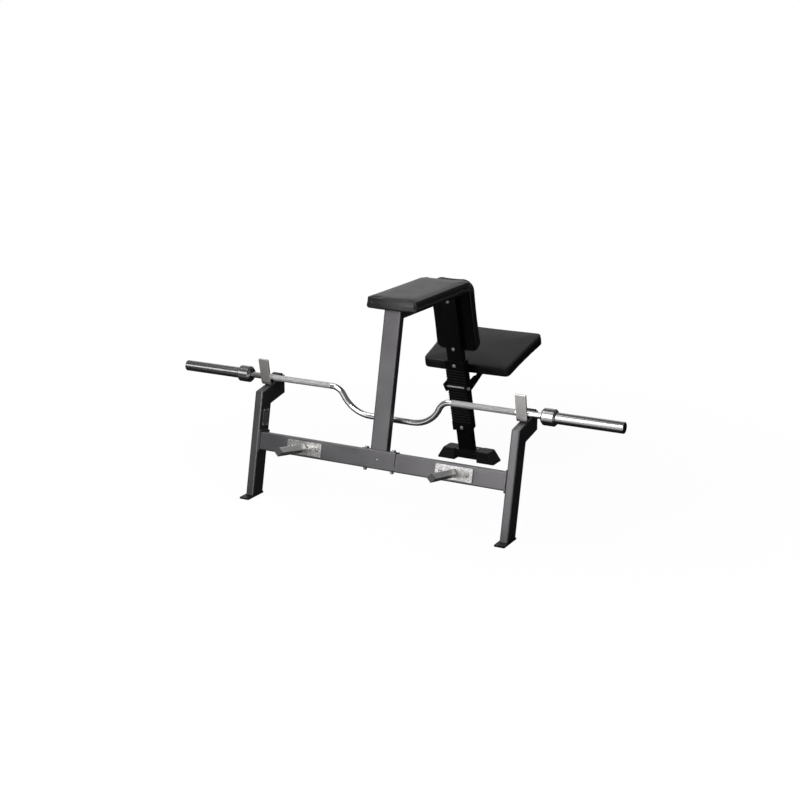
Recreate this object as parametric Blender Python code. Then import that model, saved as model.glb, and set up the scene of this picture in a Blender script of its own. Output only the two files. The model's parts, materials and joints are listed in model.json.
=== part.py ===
"""Seal row bench: a leaning front frame and a rear post that carry a chest pad, a hip pad, a
height-adjustable seat on a toothed rack, and a cambered bar that rests in two hooks.

Metres, +Z up, +X to the right as seen from the front, +Y to the rear. The front frame leans back by
FRAME_LEAN, and the rear post leans forward by REAR_LEAN. Each has an empty whose Z axis runs up it.
"""
import math

import bpy
import bmesh
from mathutils import Matrix, Vector

# Fits between pieces
GAP = 0.0003
HOLE_CLEARANCE = 0.0006
SLIDE_CLEARANCE = 0.0005
PLUG_CLEARANCE = 0.0008

# Plastic end plugs
PLUG_LIP = 0.004
PLUG_EDGE = 0.001
PLUG_REACH = 0.010

# Plates: their corners seen flat on, and the broken edges of plates, hooks and moulded blocks
PLATE_CORNER = 0.005
PLATE_EDGE = 0.0008
HOOK_EDGE = 0.0012
BLOCK_EDGE = 0.0015

# Rectangular steel tube of the frame
TUBE_WIDE = 0.083
TUBE_NARROW = 0.040
TUBE_WALL = 0.003
TUBE_CORNER = 0.006

# Front frame
FRAME_LEAN = math.radians(12)
UPRIGHT_INNER = 0.625
UPRIGHT_PROUD = 0.006
UPRIGHT_BEND_HEIGHT = 0.490
BEAM_LOW = 0.223
END_PLATE_THICK = 0.006
END_PLATE_HEIGHT = 0.100
HEAD_RISE = math.radians(11)
HEAD_REAR_Y = 0.281
FOOT_PLATE_WIDTH = 0.050
FOOT_PLATE_LENGTH = 0.130
FOOT_PLATE_THICK = 0.008
FOOT_PLATE_REAR_Y = 0.079

# Post saddle on the beam
SADDLE_HALF_LENGTH = 0.088
SADDLE_PLATE = 0.004
SADDLE_FLAP = 0.063
SADDLE_CORNER = 0.012
SADDLE_BOLT_X = 0.068

# Top beam, and the pads' common make-up: a board let into the underside of an upholstered pad
TOP_BEAM_TOP_Z = 0.913
BOARD_THICK = 0.012
PAD_WRAP = 0.010
PAD_EDGE = 0.005
PAD_SWELL = 0.0025

# Rear post and foot
REAR_LEAN = math.radians(16)
REAR_POST_Y = 0.984
FOOT_BAR_LOW = 0.012
FOOT_BAR_HEIGHT = 0.039
FOOT_BAR_DEPTH = 0.072
FOOT_BAR_HALF = 0.118
FOOT_BAR_AHEAD = 0.016
FOOT_BLOCK_HEIGHT = 0.058
FOOT_BLOCK_INNER = 0.060
FOOT_BLOCK_OUTER_LOW = 0.155
FOOT_BLOCK_OUTER_TOP = 0.124
FOOT_BLOCK_FRONT_WALL = 0.005
FOOT_BLOCK_DEPTH_LOW = 0.093
FOOT_BLOCK_DEPTH_TOP = 0.084
FOOT_BLOCK_SKIRT = 0.006
BASE_PLATE_THICK = 0.006
BASE_PLATE_AHEAD = 0.018
BASE_PLATE_LENGTH = 0.080

# Toothed rack on the rear post
RACK_FACE = 0.012
RACK_LOW = 0.178
RACK_HIGH = 0.568
RACK_SIDE_WALL = 0.0085
RACK_END_SLOPE = 0.005
RACK_BOLT_LOW = 0.196
RACK_BOLT_HIGH = 0.545
NOTCH_PITCH = 0.015
NOTCH_COUNT = 20
NOTCH_TOP = 0.517
NOTCH_FACETS = 4
REST_NOTCH = 6

# Seat carriage
ROD_RADIUS = 0.005
CHEEK_THICK = 0.006
CHEEK_CLEARANCE = 0.0025
CHEEK_NOSE = 0.029
CHEEK_NOSE_TOP = 0.025
CHEEK_CHIN = 0.010
CHEEK_CHIN_LOW = 0.020
CHEEK_FLAT_FRONT = 0.003
CHEEK_FLAT_REAR = 0.050
CHEEK_LOW = 0.028
CHEEK_KNEE = 0.170
CHEEK_KNEE_LOW = 0.013
CHEEK_TAIL_DEPTH = 0.022
CHEEK_TOP = 0.017
CHEEK_STEP = 0.020
ROLLER_RADIUS = 0.012
ROLLER_DROP = 0.014
ROLLER_PIN_RADIUS = 0.005
SEAT_FRONT = 0.099
SEAT_LENGTH = 0.376
SEAT_HALF_FRONT = 0.228
SEAT_HALF_REAR = 0.258
SEAT_THICK = 0.060
SEAT_CORNERS = (0.024, 0.030)
SEAT_DRAW_IN = 0.004
SEAT_BOW = 0.003
SEAT_CROWN = 0.006
SEAT_PLATE_THICK = 0.005
SEAT_PLATE_HALF = 0.110
SEAT_PLATE_LENGTH = 0.300
SEAT_PLATE_SETBACK = 0.014
SEAT_PLATE_CORNER = 0.020

# Chest pad and hip pad
CHEST_HALF_WIDTH = 0.129
CHEST_FRONT_Y = 0.176
CHEST_LENGTH = 0.551
CHEST_THICK = 0.056
CHEST_CORNERS = (0.022, 0.030)
CHEST_DRAW_IN = 0.002
CHEST_BOW = 0.008
CHEST_CROWN = 0.004
HIP_HALF_WIDTH = 0.109
HIP_LOW = 0.604
HIP_HIGH = 0.974
HIP_THICK = 0.053
HIP_CORNERS = (0.036, 0.054)
HIP_DRAW_IN = 0.003
HIP_CROWN = 0.005
HIP_BOLT_LOW = 0.630
HIP_BOLT_HIGH = 0.885
HIP_BOLT_DEPTH = 0.009

# Bar
BAR_HALF = 1.100
SHAFT_RADIUS = 0.014
SHAFT_NECK_STEP = 0.001
SHAFT_END = 0.014
SLEEVE_RADIUS = 0.025
SLEEVE_EDGE = 0.002
COLLAR_FROM_HOOK = 0.063
COLLAR_LENGTH = 0.064
COLLAR_RADIUS = 0.0375
COLLAR_CHAMFER = 0.009
COLLAR_REAR_CHAMFER = 0.006
BUSH_WALL = 0.003
BUSH_LENGTH = 0.045
CAMBER_ANGLE = math.radians(64)
CAMBER_FLAT_HALF = 0.106
CAMBER_LOW_RADIUS = 0.153
CAMBER_HIGH_RADIUS = 0.060
CAMBER_SWING = math.radians(6)

# Hooks
HOOK_WIDTH = 0.050
HOOK_PLATE = 0.010
HOOK_BEND = 0.012
HOOK_WALL_HEIGHT = 0.135
HOOK_WALL_FRONT = 0.0636
HOOK_TIP = 0.004
HOOK_END_SETBACK = 0.002
LINER_THICK = 0.012
LINER_SETBACK = 0.012
LINER_INSET = 0.002
LINER_NOSE = 0.006

# Plate-storage pegs
PEG_X = 0.378
PEG_SIDE = 0.030
PEG_WALL = 0.0025
PEG_LENGTH = 0.215
PEG_RISE = math.radians(10.5)
WEAR_PLATE_LENGTH = 0.180
WEAR_PLATE_HEIGHT = 0.062
WEAR_PLATE_THICK = 0.005
WEAR_PLATE_CORNER = 0.003

# Fasteners
M12_RADIUS = 0.006
M12_FLATS = 0.018
M12_HEAD = 0.0075
M12_NUT = 0.008
M10_RADIUS = 0.005
M10_FLATS = 0.016
M10_HEAD = 0.0055
M10_HEAD_RADIUS = 0.0095
M10_NUT = 0.008
BOLT_TAIL = 0.004
BOLT_SHORT = 0.004
HOLE_BOTTOM = 0.001

ROUND_SIDES = 24
SMALL_SIDES = 12


def clear_scene():
    for item in list(bpy.data.objects):
        bpy.data.objects.remove(item, do_unlink=True)


# Points and outlines

def circle(radius, sides):
    angles = [2 * math.pi * i / sides for i in range(sides)]
    return [(radius * math.cos(a), radius * math.sin(a)) for a in angles]


def hexagon(across_flats):
    """Twelve points on a hexagon: its corners and the middles of its sides."""
    middle = across_flats / 2
    corner = middle / math.cos(math.pi / 6)
    points = []
    for i in range(SMALL_SIDES):
        radius = middle if i % 2 else corner
        angle = 2 * math.pi * i / SMALL_SIDES
        points.append((radius * math.cos(angle), radius * math.sin(angle)))
    return points


def filleted(corners, radii, steps=3):
    """A closed outline with each corner replaced by an arc of its own radius."""
    points = []
    count = len(corners)
    for i, radius in enumerate(radii):
        here = Vector(corners[i])
        before = (Vector(corners[i - 1]) - here).normalized()
        after = (Vector(corners[(i + 1) % count]) - here).normalized()
        if radius <= 0:
            points.append(tuple(here))
            continue
        half = before.angle(after) / 2
        centre = here + (before + after).normalized() * radius / math.sin(half)
        start = here + before * radius / math.tan(half) - centre
        end = here + after * radius / math.tan(half) - centre
        sweep = start.angle_signed(end)
        for k in range(steps + 1):
            spun = start.copy()
            spun.rotate(Matrix.Rotation(-sweep * k / steps, 2))
            points.append(tuple(centre + spun))
    return points


def rounded_rectangle(width, height, radius, steps=3):
    x, y = width / 2, height / 2
    return filleted([(x, -y), (x, y), (-x, y), (-x, -y)], [radius] * 4, steps)


def crossing(point_a, direction_a, point_b, direction_b):
    """Where two lines in a plane meet."""
    cross = direction_a.x * direction_b.y - direction_a.y * direction_b.x
    offset = point_b - point_a
    along = (offset.x * direction_b.y - offset.y * direction_b.x) / cross
    return point_a + direction_a * along


def side_view(matrix, point):
    """A point of a leaning axis, given as (y, z) there, in the bench's own side view (y, z)."""
    moved = matrix @ Vector((0, point[0], point[1]))
    return Vector((moved.y, moved.z))


def side_direction(matrix, direction):
    turned = matrix.to_3x3() @ Vector((0, direction[0], direction[1]))
    return Vector((turned.y, turned.z))


# Meshes

def add_loop(bm, points):
    return [bm.verts.new(point) for point in points]


def bridge(bm, loop_a, loop_b):
    count = len(loop_a)
    for i in range(count):
        j = (i + 1) % count
        bm.faces.new((loop_a[i], loop_a[j], loop_b[j], loop_b[i]))


def add_loft(bm, rings, matrix=Matrix.Identity(4)):
    """A solid through rings of points, closed at both ends."""
    loops = [add_loop(bm, [matrix @ Vector(p) for p in ring]) for ring in rings]
    for low, high in zip(loops, loops[1:]):
        bridge(bm, low, high)
    bm.faces.new(list(reversed(loops[0])))
    bm.faces.new(loops[-1])


def add_hollow(bm, outer_rings, inner_rings, matrix=Matrix.Identity(4)):
    """An open tube: outer rings, inner rings, and a flat rim at each end."""
    outer = [add_loop(bm, [matrix @ Vector(p) for p in ring]) for ring in outer_rings]
    inner = [add_loop(bm, [matrix @ Vector(p) for p in ring]) for ring in inner_rings]
    for low, high in zip(outer, outer[1:]):
        bridge(bm, low, high)
    for low, high in zip(inner, inner[1:]):
        bridge(bm, high, low)
    bridge(bm, inner[0], outer[0])
    bridge(bm, outer[-1], inner[-1])


def add_turned(bm, profile, sides, matrix=Matrix.Identity(4)):
    """A solid of revolution about Z. The profile is (radius, z), from one flat end to the other."""
    rings = [[(x, y, z) for x, y in circle(radius, sides)] for radius, z in profile]
    add_loft(bm, rings, matrix)


def add_turned_ring(bm, profile, sides, matrix=Matrix.Identity(4)):
    """A ring of revolution about Z, from a closed profile of (radius, z)."""
    loops = []
    for radius, z in profile:
        loops.append(add_loop(bm, [matrix @ Vector((x, y, z)) for x, y in circle(radius, sides)]))
    for i, low in enumerate(loops):
        bridge(bm, low, loops[(i + 1) % len(loops)])


def add_prism(bm, outline, low, high, matrix=Matrix.Identity(4)):
    """An outline in the XY plane, run from one Z to another."""
    add_loft(bm, [[(x, y, z) for x, y in outline] for z in (low, high)], matrix)


def side_prism_matrix():
    """Turns a prism's outline (x, y) into (y, z) and its height into x."""
    return Matrix(((0, 0, 1, 0), (1, 0, 0, 0), (0, 1, 0, 0), (0, 0, 0, 1)))


def add_hex_bolt(bm, radius, length, flats, head, matrix):
    """A hexagon bolt whose head stands on Z = 0 and whose shank runs down."""
    chamfer = 0.0008
    shank = circle(radius, SMALL_SIDES)
    outline = hexagon(flats)
    crown = circle(flats / 2 - chamfer, SMALL_SIDES)
    rings = [[(x, y, -length) for x, y in shank], [(x, y, 0) for x, y in shank],
             [(x, y, 0) for x, y in outline], [(x, y, head - chamfer) for x, y in outline],
             [(x, y, head) for x, y in crown]]
    add_loft(bm, rings, matrix)


def add_hex_nut(bm, radius, flats, height, matrix):
    """A hexagon nut that stands on Z = 0."""
    bore = circle(radius + GAP, SMALL_SIDES)
    outline = hexagon(flats)
    outer = [[(x, y, z) for x, y in outline] for z in (0, height)]
    inner = [[(x, y, z) for x, y in bore] for z in (0, height)]
    add_hollow(bm, outer, inner, matrix)


def add_button_bolt(bm, radius, length, head_radius, head, matrix):
    """A domed screw whose head stands on Z = 0 and whose shank runs down."""
    profile = [(radius, -length), (radius, 0), (head_radius, 0), (head_radius, head * 0.35),
               (head_radius * 0.82, head * 0.8), (head_radius * 0.5, head)]
    add_turned(bm, profile, SMALL_SIDES, matrix)


# Objects

def make_material(name, colour, metallic, roughness):
    material = bpy.data.materials.new(name)
    material.use_nodes = True
    shader = material.node_tree.nodes["Principled BSDF"]
    shader.inputs["Base Color"].default_value = (*colour, 1)
    shader.inputs["Metallic"].default_value = metallic
    shader.inputs["Roughness"].default_value = roughness
    return material


def make_empty(name, matrix, parent=None):
    item = bpy.data.objects.new(name, None)
    item.empty_display_size = 0.05
    bpy.context.collection.objects.link(item)
    item.parent = parent
    item.matrix_basis = matrix
    return item


def make_object(name, bm, material, parent, matrix=Matrix.Identity(4), sharp=35):
    """Closes the mesh's normals outward, shades it and places it under its parent."""
    bmesh.ops.recalc_face_normals(bm, faces=bm.faces)
    mesh = bpy.data.meshes.new(name)
    bm.to_mesh(mesh)
    bm.free()
    mesh.shade_smooth()
    mesh.set_sharp_from_angle(angle=math.radians(sharp))
    item = bpy.data.objects.new(name, mesh)
    bpy.context.collection.objects.link(item)
    item.parent = parent
    item.matrix_basis = matrix
    if material is not None:
        mesh.materials.append(material)
    return item


def soften(item, width, segments=2):
    """Breaks the sharp edges of a plate or a casting."""
    bevel = item.modifiers.new("edges", "BEVEL")
    bevel.width = width
    bevel.segments = segments
    bevel.limit_method = "ANGLE"
    bevel.angle_limit = math.radians(40)


def boolean(item, other, operation):
    """Keeps the other object as a hidden guide."""
    other.hide_render = True
    other.display_type = "WIRE"
    modifier = item.modifiers.new(other.name, "BOOLEAN")
    modifier.operation = operation
    modifier.solver = "EXACT"
    modifier.object = other


def drill(item, parent, holes):
    """Cuts round holes. Each hole is (radius, length, matrix), its axis the matrix's Z."""
    bm = bmesh.new()
    for radius, length, matrix in holes:
        add_turned(bm, [(radius, -length / 2), (radius, length / 2)], SMALL_SIDES, matrix)
    boolean(item, make_object(item.name + "_holes", bm, None, parent), "DIFFERENCE")


def move(x, y, z):
    return Matrix.Translation((x, y, z))


def facing(axis):
    """A turn that takes Z to the named direction."""
    turns = {"+X": (math.pi / 2, "Y"), "-X": (-math.pi / 2, "Y"), "-Y": (math.pi / 2, "X"),
             "+Y": (-math.pi / 2, "X"), "-Z": (math.pi, "X"), "+Z": (0, "X")}
    angle, around = turns[axis]
    return Matrix.Rotation(angle, 4, around)


def plane_height(plane, x, y):
    """How far up Z a plane, given as (point, normal), lies above (x, y)."""
    point, normal = plane
    return point.z + ((point.x - x) * normal.x + (point.y - y) * normal.y) / normal.z


def make_tube(name, size, planes, material, parent, matrix):
    """A rectangular tube along its own Z, each end cut by a plane given in the bench's frame."""
    wide, deep = size
    into_tube = (parent.matrix_basis @ matrix).inverted()
    turn = into_tube.to_3x3()
    local_planes = [(into_tube @ point, turn @ normal) for point, normal in planes]
    outer = rounded_rectangle(wide, deep, TUBE_CORNER)
    inner = rounded_rectangle(wide - 2 * TUBE_WALL, deep - 2 * TUBE_WALL, TUBE_CORNER - TUBE_WALL)
    outer_rings = [[(x, y, plane_height(plane, x, y)) for x, y in outer] for plane in local_planes]
    inner_rings = [[(x, y, plane_height(plane, x, y)) for x, y in inner] for plane in local_planes]
    bm = bmesh.new()
    add_hollow(bm, outer_rings, inner_rings)
    return make_object(name, bm, material, parent, matrix, sharp=50)


def level_plane(z):
    return Vector((0, 0, z)), Vector((0, 0, 1))


def upright_plane(x):
    return Vector((x, 0, 0)), Vector((1, 0, 0))


def mitre_plane(outer, inner, shift):
    """The plane through a mitre's outer and inner corners, moved square to itself."""
    along = (outer - inner).normalized()
    normal = Vector((0, -along.y, along.x))
    return Vector((0, outer.x, outer.y)) + normal * shift, normal


# Cushions

def pad_outline(half_front, half_rear, length, corners, draw_in, bow):
    """A pad seen from above, front edge at y = 0: rounded corners, sides drawn in, front bowed."""
    front_corner, rear_corner = corners
    points = filleted([(half_front, 0), (half_rear, length), (-half_rear, length), (-half_front, 0)],
                      [front_corner, rear_corner, rear_corner, front_corner], 5)
    outline = []
    for here, after in zip(points, points[1:] + points[:1]):
        outline.append(Vector(here))
        run = Vector(after) - Vector(here)
        if run.length > 0.08:
            cuts = 7
            inward = Vector((-run.y, run.x)).normalized()
            front_edge = abs(run.y) < 1e-6 and here[1] < length / 2
            reach = -bow if front_edge else draw_in
            for k in range(1, cuts):
                t = k / cuts
                outline.append(Vector(here) + run * t + inward * reach * math.sin(math.pi * t))
    return outline


def inset(outline, distance):
    """The outline moved inward, each point along the mean of its two sides' normals."""
    moved = []
    count = len(outline)
    for i, point in enumerate(outline):
        before = (point - outline[i - 1]).normalized()
        after = (outline[(i + 1) % count] - point).normalized()
        along = (before + after).normalized()
        moved.append(point + Vector((-along.y, along.x)) * distance)
    return moved


def make_cushion(name, outline, thick, crown, material, parent, matrix):
    """An upholstered pad round its board: tucked under, full at the sides, a tight top edge, a crown."""
    shoulder = thick - crown
    edge = PAD_EDGE
    levels = [(PAD_WRAP, BOARD_THICK + GAP), (PAD_WRAP, 0), (edge, 0), (edge * 0.3, edge * 0.3), (0, edge),
              (-PAD_SWELL * 0.8, shoulder * 0.35), (-PAD_SWELL, shoulder * 0.55),
              (-PAD_SWELL * 0.6, shoulder * 0.75), (0, shoulder - edge), (edge * 0.3, shoulder - edge * 0.3),
              (edge, shoulder)]
    rings = [[(p.x, p.y, z) for p in inset(outline, away)] for away, z in levels]
    top = inset(outline, levels[-1][0])
    middle = sum(top, Vector((0, 0))) / len(top)
    for scale in (0.86, 0.66, 0.42, 0.16):
        rise = shoulder + crown * (1 - scale ** 2.4)
        rings.append([((p - middle) * scale + middle).to_3d() + Vector((0, 0, rise)) for p in top])
    bm = bmesh.new()
    add_loft(bm, rings)
    return make_object(name, bm, material, parent, matrix, sharp=80)


def make_board(name, outline, material, parent, matrix):
    """The board that fills the recess in a pad's underside."""
    bm = bmesh.new()
    add_prism(bm, [tuple(p) for p in inset(outline, PAD_WRAP + GAP)], 0, BOARD_THICK)
    return make_object(name, bm, material, parent, matrix)


# Front frame

def make_beam(front, steel):
    """The cross beam, its front face on y = 0, between two end plates that bolt to the uprights."""
    middle = BEAM_LOW + TUBE_WIDE / 2
    plate_outer = UPRIGHT_INNER - GAP
    half = plate_outer - END_PLATE_THICK - GAP
    beam = make_tube("cross_beam", (TUBE_WIDE, TUBE_NARROW), [upright_plane(-half), upright_plane(half)],
                     steel, front, move(0, TUBE_NARROW / 2, middle) @ facing("+X"))
    radius = M12_RADIUS + HOLE_CLEARANCE
    drill(beam, front, [(radius, 2 * TUBE_WIDE, move(side * SADDLE_BOLT_X, TUBE_NARROW / 2, middle))
                        for side in (-1, 1)])
    for side, tag in ((-1, "left"), (1, "right")):
        bm = bmesh.new()
        add_prism(bm, rounded_rectangle(TUBE_WIDE, END_PLATE_HEIGHT, PLATE_CORNER),
                  0, END_PLATE_THICK, side_prism_matrix())
        inner = side * plate_outer - (END_PLATE_THICK if side > 0 else 0)
        plate = make_object(tag + "_beam_end_plate", bm, steel, front,
                            move(inner, TUBE_WIDE / 2 - UPRIGHT_PROUD, middle))
        soften(plate, PLATE_EDGE, 1)


def upright_corner():
    """The outer and inner corners of the bend at an upright's top, in the side view."""
    lean = Matrix.Rotation(-FRAME_LEAN, 4, "X")
    up = side_direction(lean, (0, 1))
    head = Vector((math.cos(HEAD_RISE), math.sin(HEAD_RISE)))
    below = Vector((math.sin(HEAD_RISE), -math.cos(HEAD_RISE)))
    outer = side_view(lean, (-UPRIGHT_PROUD, UPRIGHT_BEND_HEIGHT))
    rear_face = side_view(lean, (TUBE_WIDE - UPRIGHT_PROUD, 0))
    inner = crossing(rear_face, up, outer + below * TUBE_WIDE, head)
    return outer, inner


def make_uprights(front, root, steel):
    """Two leaning uprights on foot plates, each with a head tube that turns to the rear."""
    outer, inner = upright_corner()
    centre = TUBE_WIDE / 2 - UPRIGHT_PROUD
    below = Vector((math.sin(HEAD_RISE), -math.cos(HEAD_RISE)))
    head_start = outer + below * TUBE_WIDE / 2
    rear_end = (Vector((0, HEAD_REAR_Y, 0)), Vector((0, 1, 0)))
    for side, tag in ((-1, "left"), (1, "right")):
        x = side * (UPRIGHT_INNER + TUBE_NARROW / 2)
        make_tube(tag + "_upright", (TUBE_NARROW, TUBE_WIDE),
                  [level_plane(FOOT_PLATE_THICK + GAP), mitre_plane(outer, inner, GAP / 2)],
                  steel, front, move(x, centre, 0))
        turn = Matrix.Rotation(HEAD_RISE - math.pi / 2, 4, "X")
        make_tube(tag + "_head", (TUBE_NARROW, TUBE_WIDE),
                  [mitre_plane(outer, inner, -GAP / 2), rear_end],
                  steel, root, move(x, head_start.x, head_start.y) @ turn)


def make_head_plugs(root, plastic):
    """Plastic plugs in the open rear ends of the head tubes."""
    outer, _ = upright_corner()
    tall = TUBE_WIDE / math.cos(HEAD_RISE)
    top = outer.y + (HEAD_REAR_Y - outer.x) * math.tan(HEAD_RISE)
    slope_drop = PLUG_REACH * math.tan(HEAD_RISE)
    lip = rounded_rectangle(TUBE_NARROW, tall, TUBE_CORNER)
    crown = rounded_rectangle(TUBE_NARROW - 2 * PLUG_EDGE, tall - 2 * PLUG_EDGE, TUBE_CORNER - PLUG_EDGE)
    inner_wide = TUBE_NARROW - 2 * TUBE_WALL
    inner_tall = tall - 2 * TUBE_WALL - 2 * slope_drop
    stem = rounded_rectangle(inner_wide - 2 * PLUG_CLEARANCE, inner_tall - 2 * PLUG_CLEARANCE,
                             TUBE_CORNER - TUBE_WALL)
    for side, tag in ((-1, "left"), (1, "right")):
        rings = [(stem, -PLUG_REACH), (stem, GAP), (lip, GAP), (lip, PLUG_LIP - PLUG_EDGE), (crown, PLUG_LIP)]
        bm = bmesh.new()
        add_loft(bm, [[(u, v, z) for u, v in points] for points, z in rings])
        x = side * (UPRIGHT_INNER + TUBE_NARROW / 2)
        make_object(tag + "_head_plug", bm, plastic, root,
                    move(x, HEAD_REAR_Y, top - tall / 2) @ facing("+Y"))


def make_foot_plates(root, steel):
    for side, tag in ((-1, "left"), (1, "right")):
        bm = bmesh.new()
        outline = rounded_rectangle(FOOT_PLATE_WIDTH, FOOT_PLATE_LENGTH, PLATE_CORNER)
        add_prism(bm, outline, 0, FOOT_PLATE_THICK)
        x = side * (UPRIGHT_INNER + TUBE_NARROW / 2)
        y = FOOT_PLATE_REAR_Y - FOOT_PLATE_LENGTH / 2
        plate = make_object(tag + "_foot_plate", bm, steel, root, move(x, y, 0))
        soften(plate, PLATE_EDGE, 1)


# Hooks. Their profiles are drawn on the head tube's slope: a runs up it to the rear, b stands on it.

def head_slope(root_x):
    outer, _ = upright_corner()
    return move(root_x, outer.x, outer.y) @ Matrix.Rotation(HEAD_RISE, 4, "X")


def bar_seat():
    """The bar's axis on the head's slope: it rests on the liner, against the hook's wall."""
    along = HOOK_WALL_FRONT + HOOK_PLATE + GAP + SHAFT_RADIUS
    above = GAP + HOOK_PLATE + GAP + LINER_THICK + GAP + SHAFT_RADIUS
    return along, above


def bar_axis():
    along, above = bar_seat()
    place = head_slope(0) @ Vector((0, along, above))
    return place.y, place.z


def make_hooks(root, steel, plastic):
    """A bent plate with a tall front wall, and a wear liner on its floor."""
    outer, _ = upright_corner()
    rear = (HEAD_REAR_Y - outer.x) / math.cos(HEAD_RISE) - HOOK_END_SETBACK
    wall = HOOK_WALL_FRONT
    low = GAP
    profile = [(rear, low), (rear, low + HOOK_PLATE), (wall + HOOK_PLATE, low + HOOK_PLATE),
               (wall + HOOK_PLATE, HOOK_WALL_HEIGHT), (wall, HOOK_WALL_HEIGHT), (wall, low)]
    radii = [HOOK_TIP, HOOK_TIP, HOOK_BEND, HOOK_TIP, HOOK_TIP, HOOK_BEND + HOOK_PLATE]
    floor = low + HOOK_PLATE + GAP
    liner_front = wall + HOOK_PLATE + GAP
    liner_rear = rear - LINER_SETBACK
    liner = [(liner_front, floor), (liner_rear, floor), (liner_rear, floor + LINER_THICK),
             (liner_front, floor + LINER_THICK)]
    for side, tag in ((-1, "left"), (1, "right")):
        slope = head_slope(side * (UPRIGHT_INNER + TUBE_NARROW / 2))
        bm = bmesh.new()
        add_prism(bm, filleted(profile, radii, 5), -HOOK_WIDTH / 2, HOOK_WIDTH / 2, side_prism_matrix())
        hook = make_object(tag + "_hook", bm, steel, root, slope)
        soften(hook, HOOK_EDGE)
        bm = bmesh.new()
        outline = filleted(liner, [HOOK_BEND, PLUG_EDGE, LINER_NOSE, PLUG_EDGE], 4)
        half = HOOK_WIDTH / 2 - LINER_INSET
        add_prism(bm, outline, -half, half, side_prism_matrix())
        make_object(tag + "_hook_liner", bm, plastic, root, slope)


# Plate pegs

def make_pegs(front, polished, plastic):
    """A polished wear plate, a square tube set on its corner, and an end plug, on each side."""
    middle = BEAM_LOW + TUBE_WIDE / 2
    tilt = Matrix.Rotation(FRAME_LEAN - PEG_RISE, 4, "X")
    plate_face = Vector((0, 0, 0)), tilt.inverted().to_3x3() @ Vector((0, 0, 1))
    on_corner = Matrix.Rotation(math.pi / 4, 2)
    inner_side = PEG_SIDE - 2 * PEG_WALL
    section = [on_corner @ Vector(p) for p in rounded_rectangle(PEG_SIDE, PEG_SIDE, 0.003, 2)]
    bore = [on_corner @ Vector(p) for p in rounded_rectangle(inner_side, inner_side, 0.001, 2)]
    stem = [p * (1 - 2 * GAP / inner_side) for p in bore]
    crown = [p * (1 - 2 * PLUG_EDGE / PEG_SIDE) for p in section]

    def ring(points, z):
        return [(p.x, p.y, z) for p in points]

    def root_ring(points):
        return [(p.x, p.y, plane_height(plate_face, p.x, p.y)) for p in points]

    for side, tag in ((-1, "left"), (1, "right")):
        x = side * PEG_X
        bm = bmesh.new()
        outline = rounded_rectangle(WEAR_PLATE_LENGTH, WEAR_PLATE_HEIGHT, WEAR_PLATE_CORNER)
        add_prism(bm, outline, GAP, WEAR_PLATE_THICK)
        plate = make_object(tag + "_wear_plate", bm, polished, front, move(x, 0, middle) @ facing("-Y"))
        soften(plate, PLATE_EDGE, 1)
        slant = move(x, -WEAR_PLATE_THICK - GAP, middle) @ facing("-Y") @ tilt
        bm = bmesh.new()
        add_hollow(bm, [root_ring(section), ring(section, PEG_LENGTH)],
                   [root_ring(bore), ring(bore, PEG_LENGTH)])
        make_object(tag + "_peg", bm, polished, front, slant, sharp=50)
        bm = bmesh.new()
        add_loft(bm, [ring(stem, PEG_LENGTH - PLUG_REACH), ring(stem, PEG_LENGTH + GAP),
                      ring(section, PEG_LENGTH + GAP), ring(section, PEG_LENGTH + PLUG_LIP - PLUG_EDGE),
                      ring(crown, PEG_LENGTH + PLUG_LIP)])
        make_object(tag + "_peg_plug", bm, plastic, front, slant)


# Front post and its saddle

def make_saddle(front, steel, zinc):
    """An upturned channel over the beam, held by two through bolts."""
    top = BEAM_LOW + TUBE_WIDE
    low = top - SADDLE_FLAP
    roof = top + GAP + SADDLE_PLATE
    y0, y1 = -GAP, TUBE_NARROW + GAP
    profile = [(y0 - SADDLE_PLATE, low), (y0, low), (y0, top + GAP), (y1, top + GAP), (y1, low),
               (y1 + SADDLE_PLATE, low), (y1 + SADDLE_PLATE, roof), (y0 - SADDLE_PLATE, roof)]
    bend = TUBE_CORNER + SADDLE_PLATE
    radii = [0, 0, TUBE_CORNER, TUBE_CORNER, 0, 0, bend, bend]
    bm = bmesh.new()
    add_prism(bm, filleted(profile, radii, 3), -SADDLE_HALF_LENGTH, SADDLE_HALF_LENGTH, side_prism_matrix())
    saddle = make_object("front_post_saddle", bm, steel, front)
    reach = 0.02
    corners = [(SADDLE_HALF_LENGTH, low), (SADDLE_HALF_LENGTH, top + reach),
               (-SADDLE_HALF_LENGTH, top + reach), (-SADDLE_HALF_LENGTH, low)]
    outline = filleted(corners, [SADDLE_CORNER, 0, 0, SADDLE_CORNER], 5)
    bm = bmesh.new()
    add_prism(bm, outline, -TUBE_NARROW - reach, reach, facing("-Y"))
    boolean(saddle, make_object("front_post_saddle_outline", bm, None, front), "INTERSECT")
    middle_y = TUBE_NARROW / 2
    drill(saddle, front, [(M12_RADIUS + HOLE_CLEARANCE, reach, move(side * SADDLE_BOLT_X, middle_y, roof))
                          for side in (-1, 1)])
    length = roof + GAP - BEAM_LOW + GAP + M12_NUT + BOLT_TAIL
    for side, tag in ((-1, "left"), (1, "right")):
        x = side * SADDLE_BOLT_X
        bm = bmesh.new()
        add_hex_bolt(bm, M12_RADIUS, length, M12_FLATS, M12_HEAD, Matrix.Identity(4))
        make_object(tag + "_saddle_bolt", bm, zinc, front, move(x, middle_y, roof + GAP))
        bm = bmesh.new()
        add_hex_nut(bm, M12_RADIUS, M12_FLATS, M12_NUT, Matrix.Identity(4))
        make_object(tag + "_saddle_nut", bm, zinc, front,
                    move(x, middle_y, BEAM_LOW - GAP) @ facing("-Z"))


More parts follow.
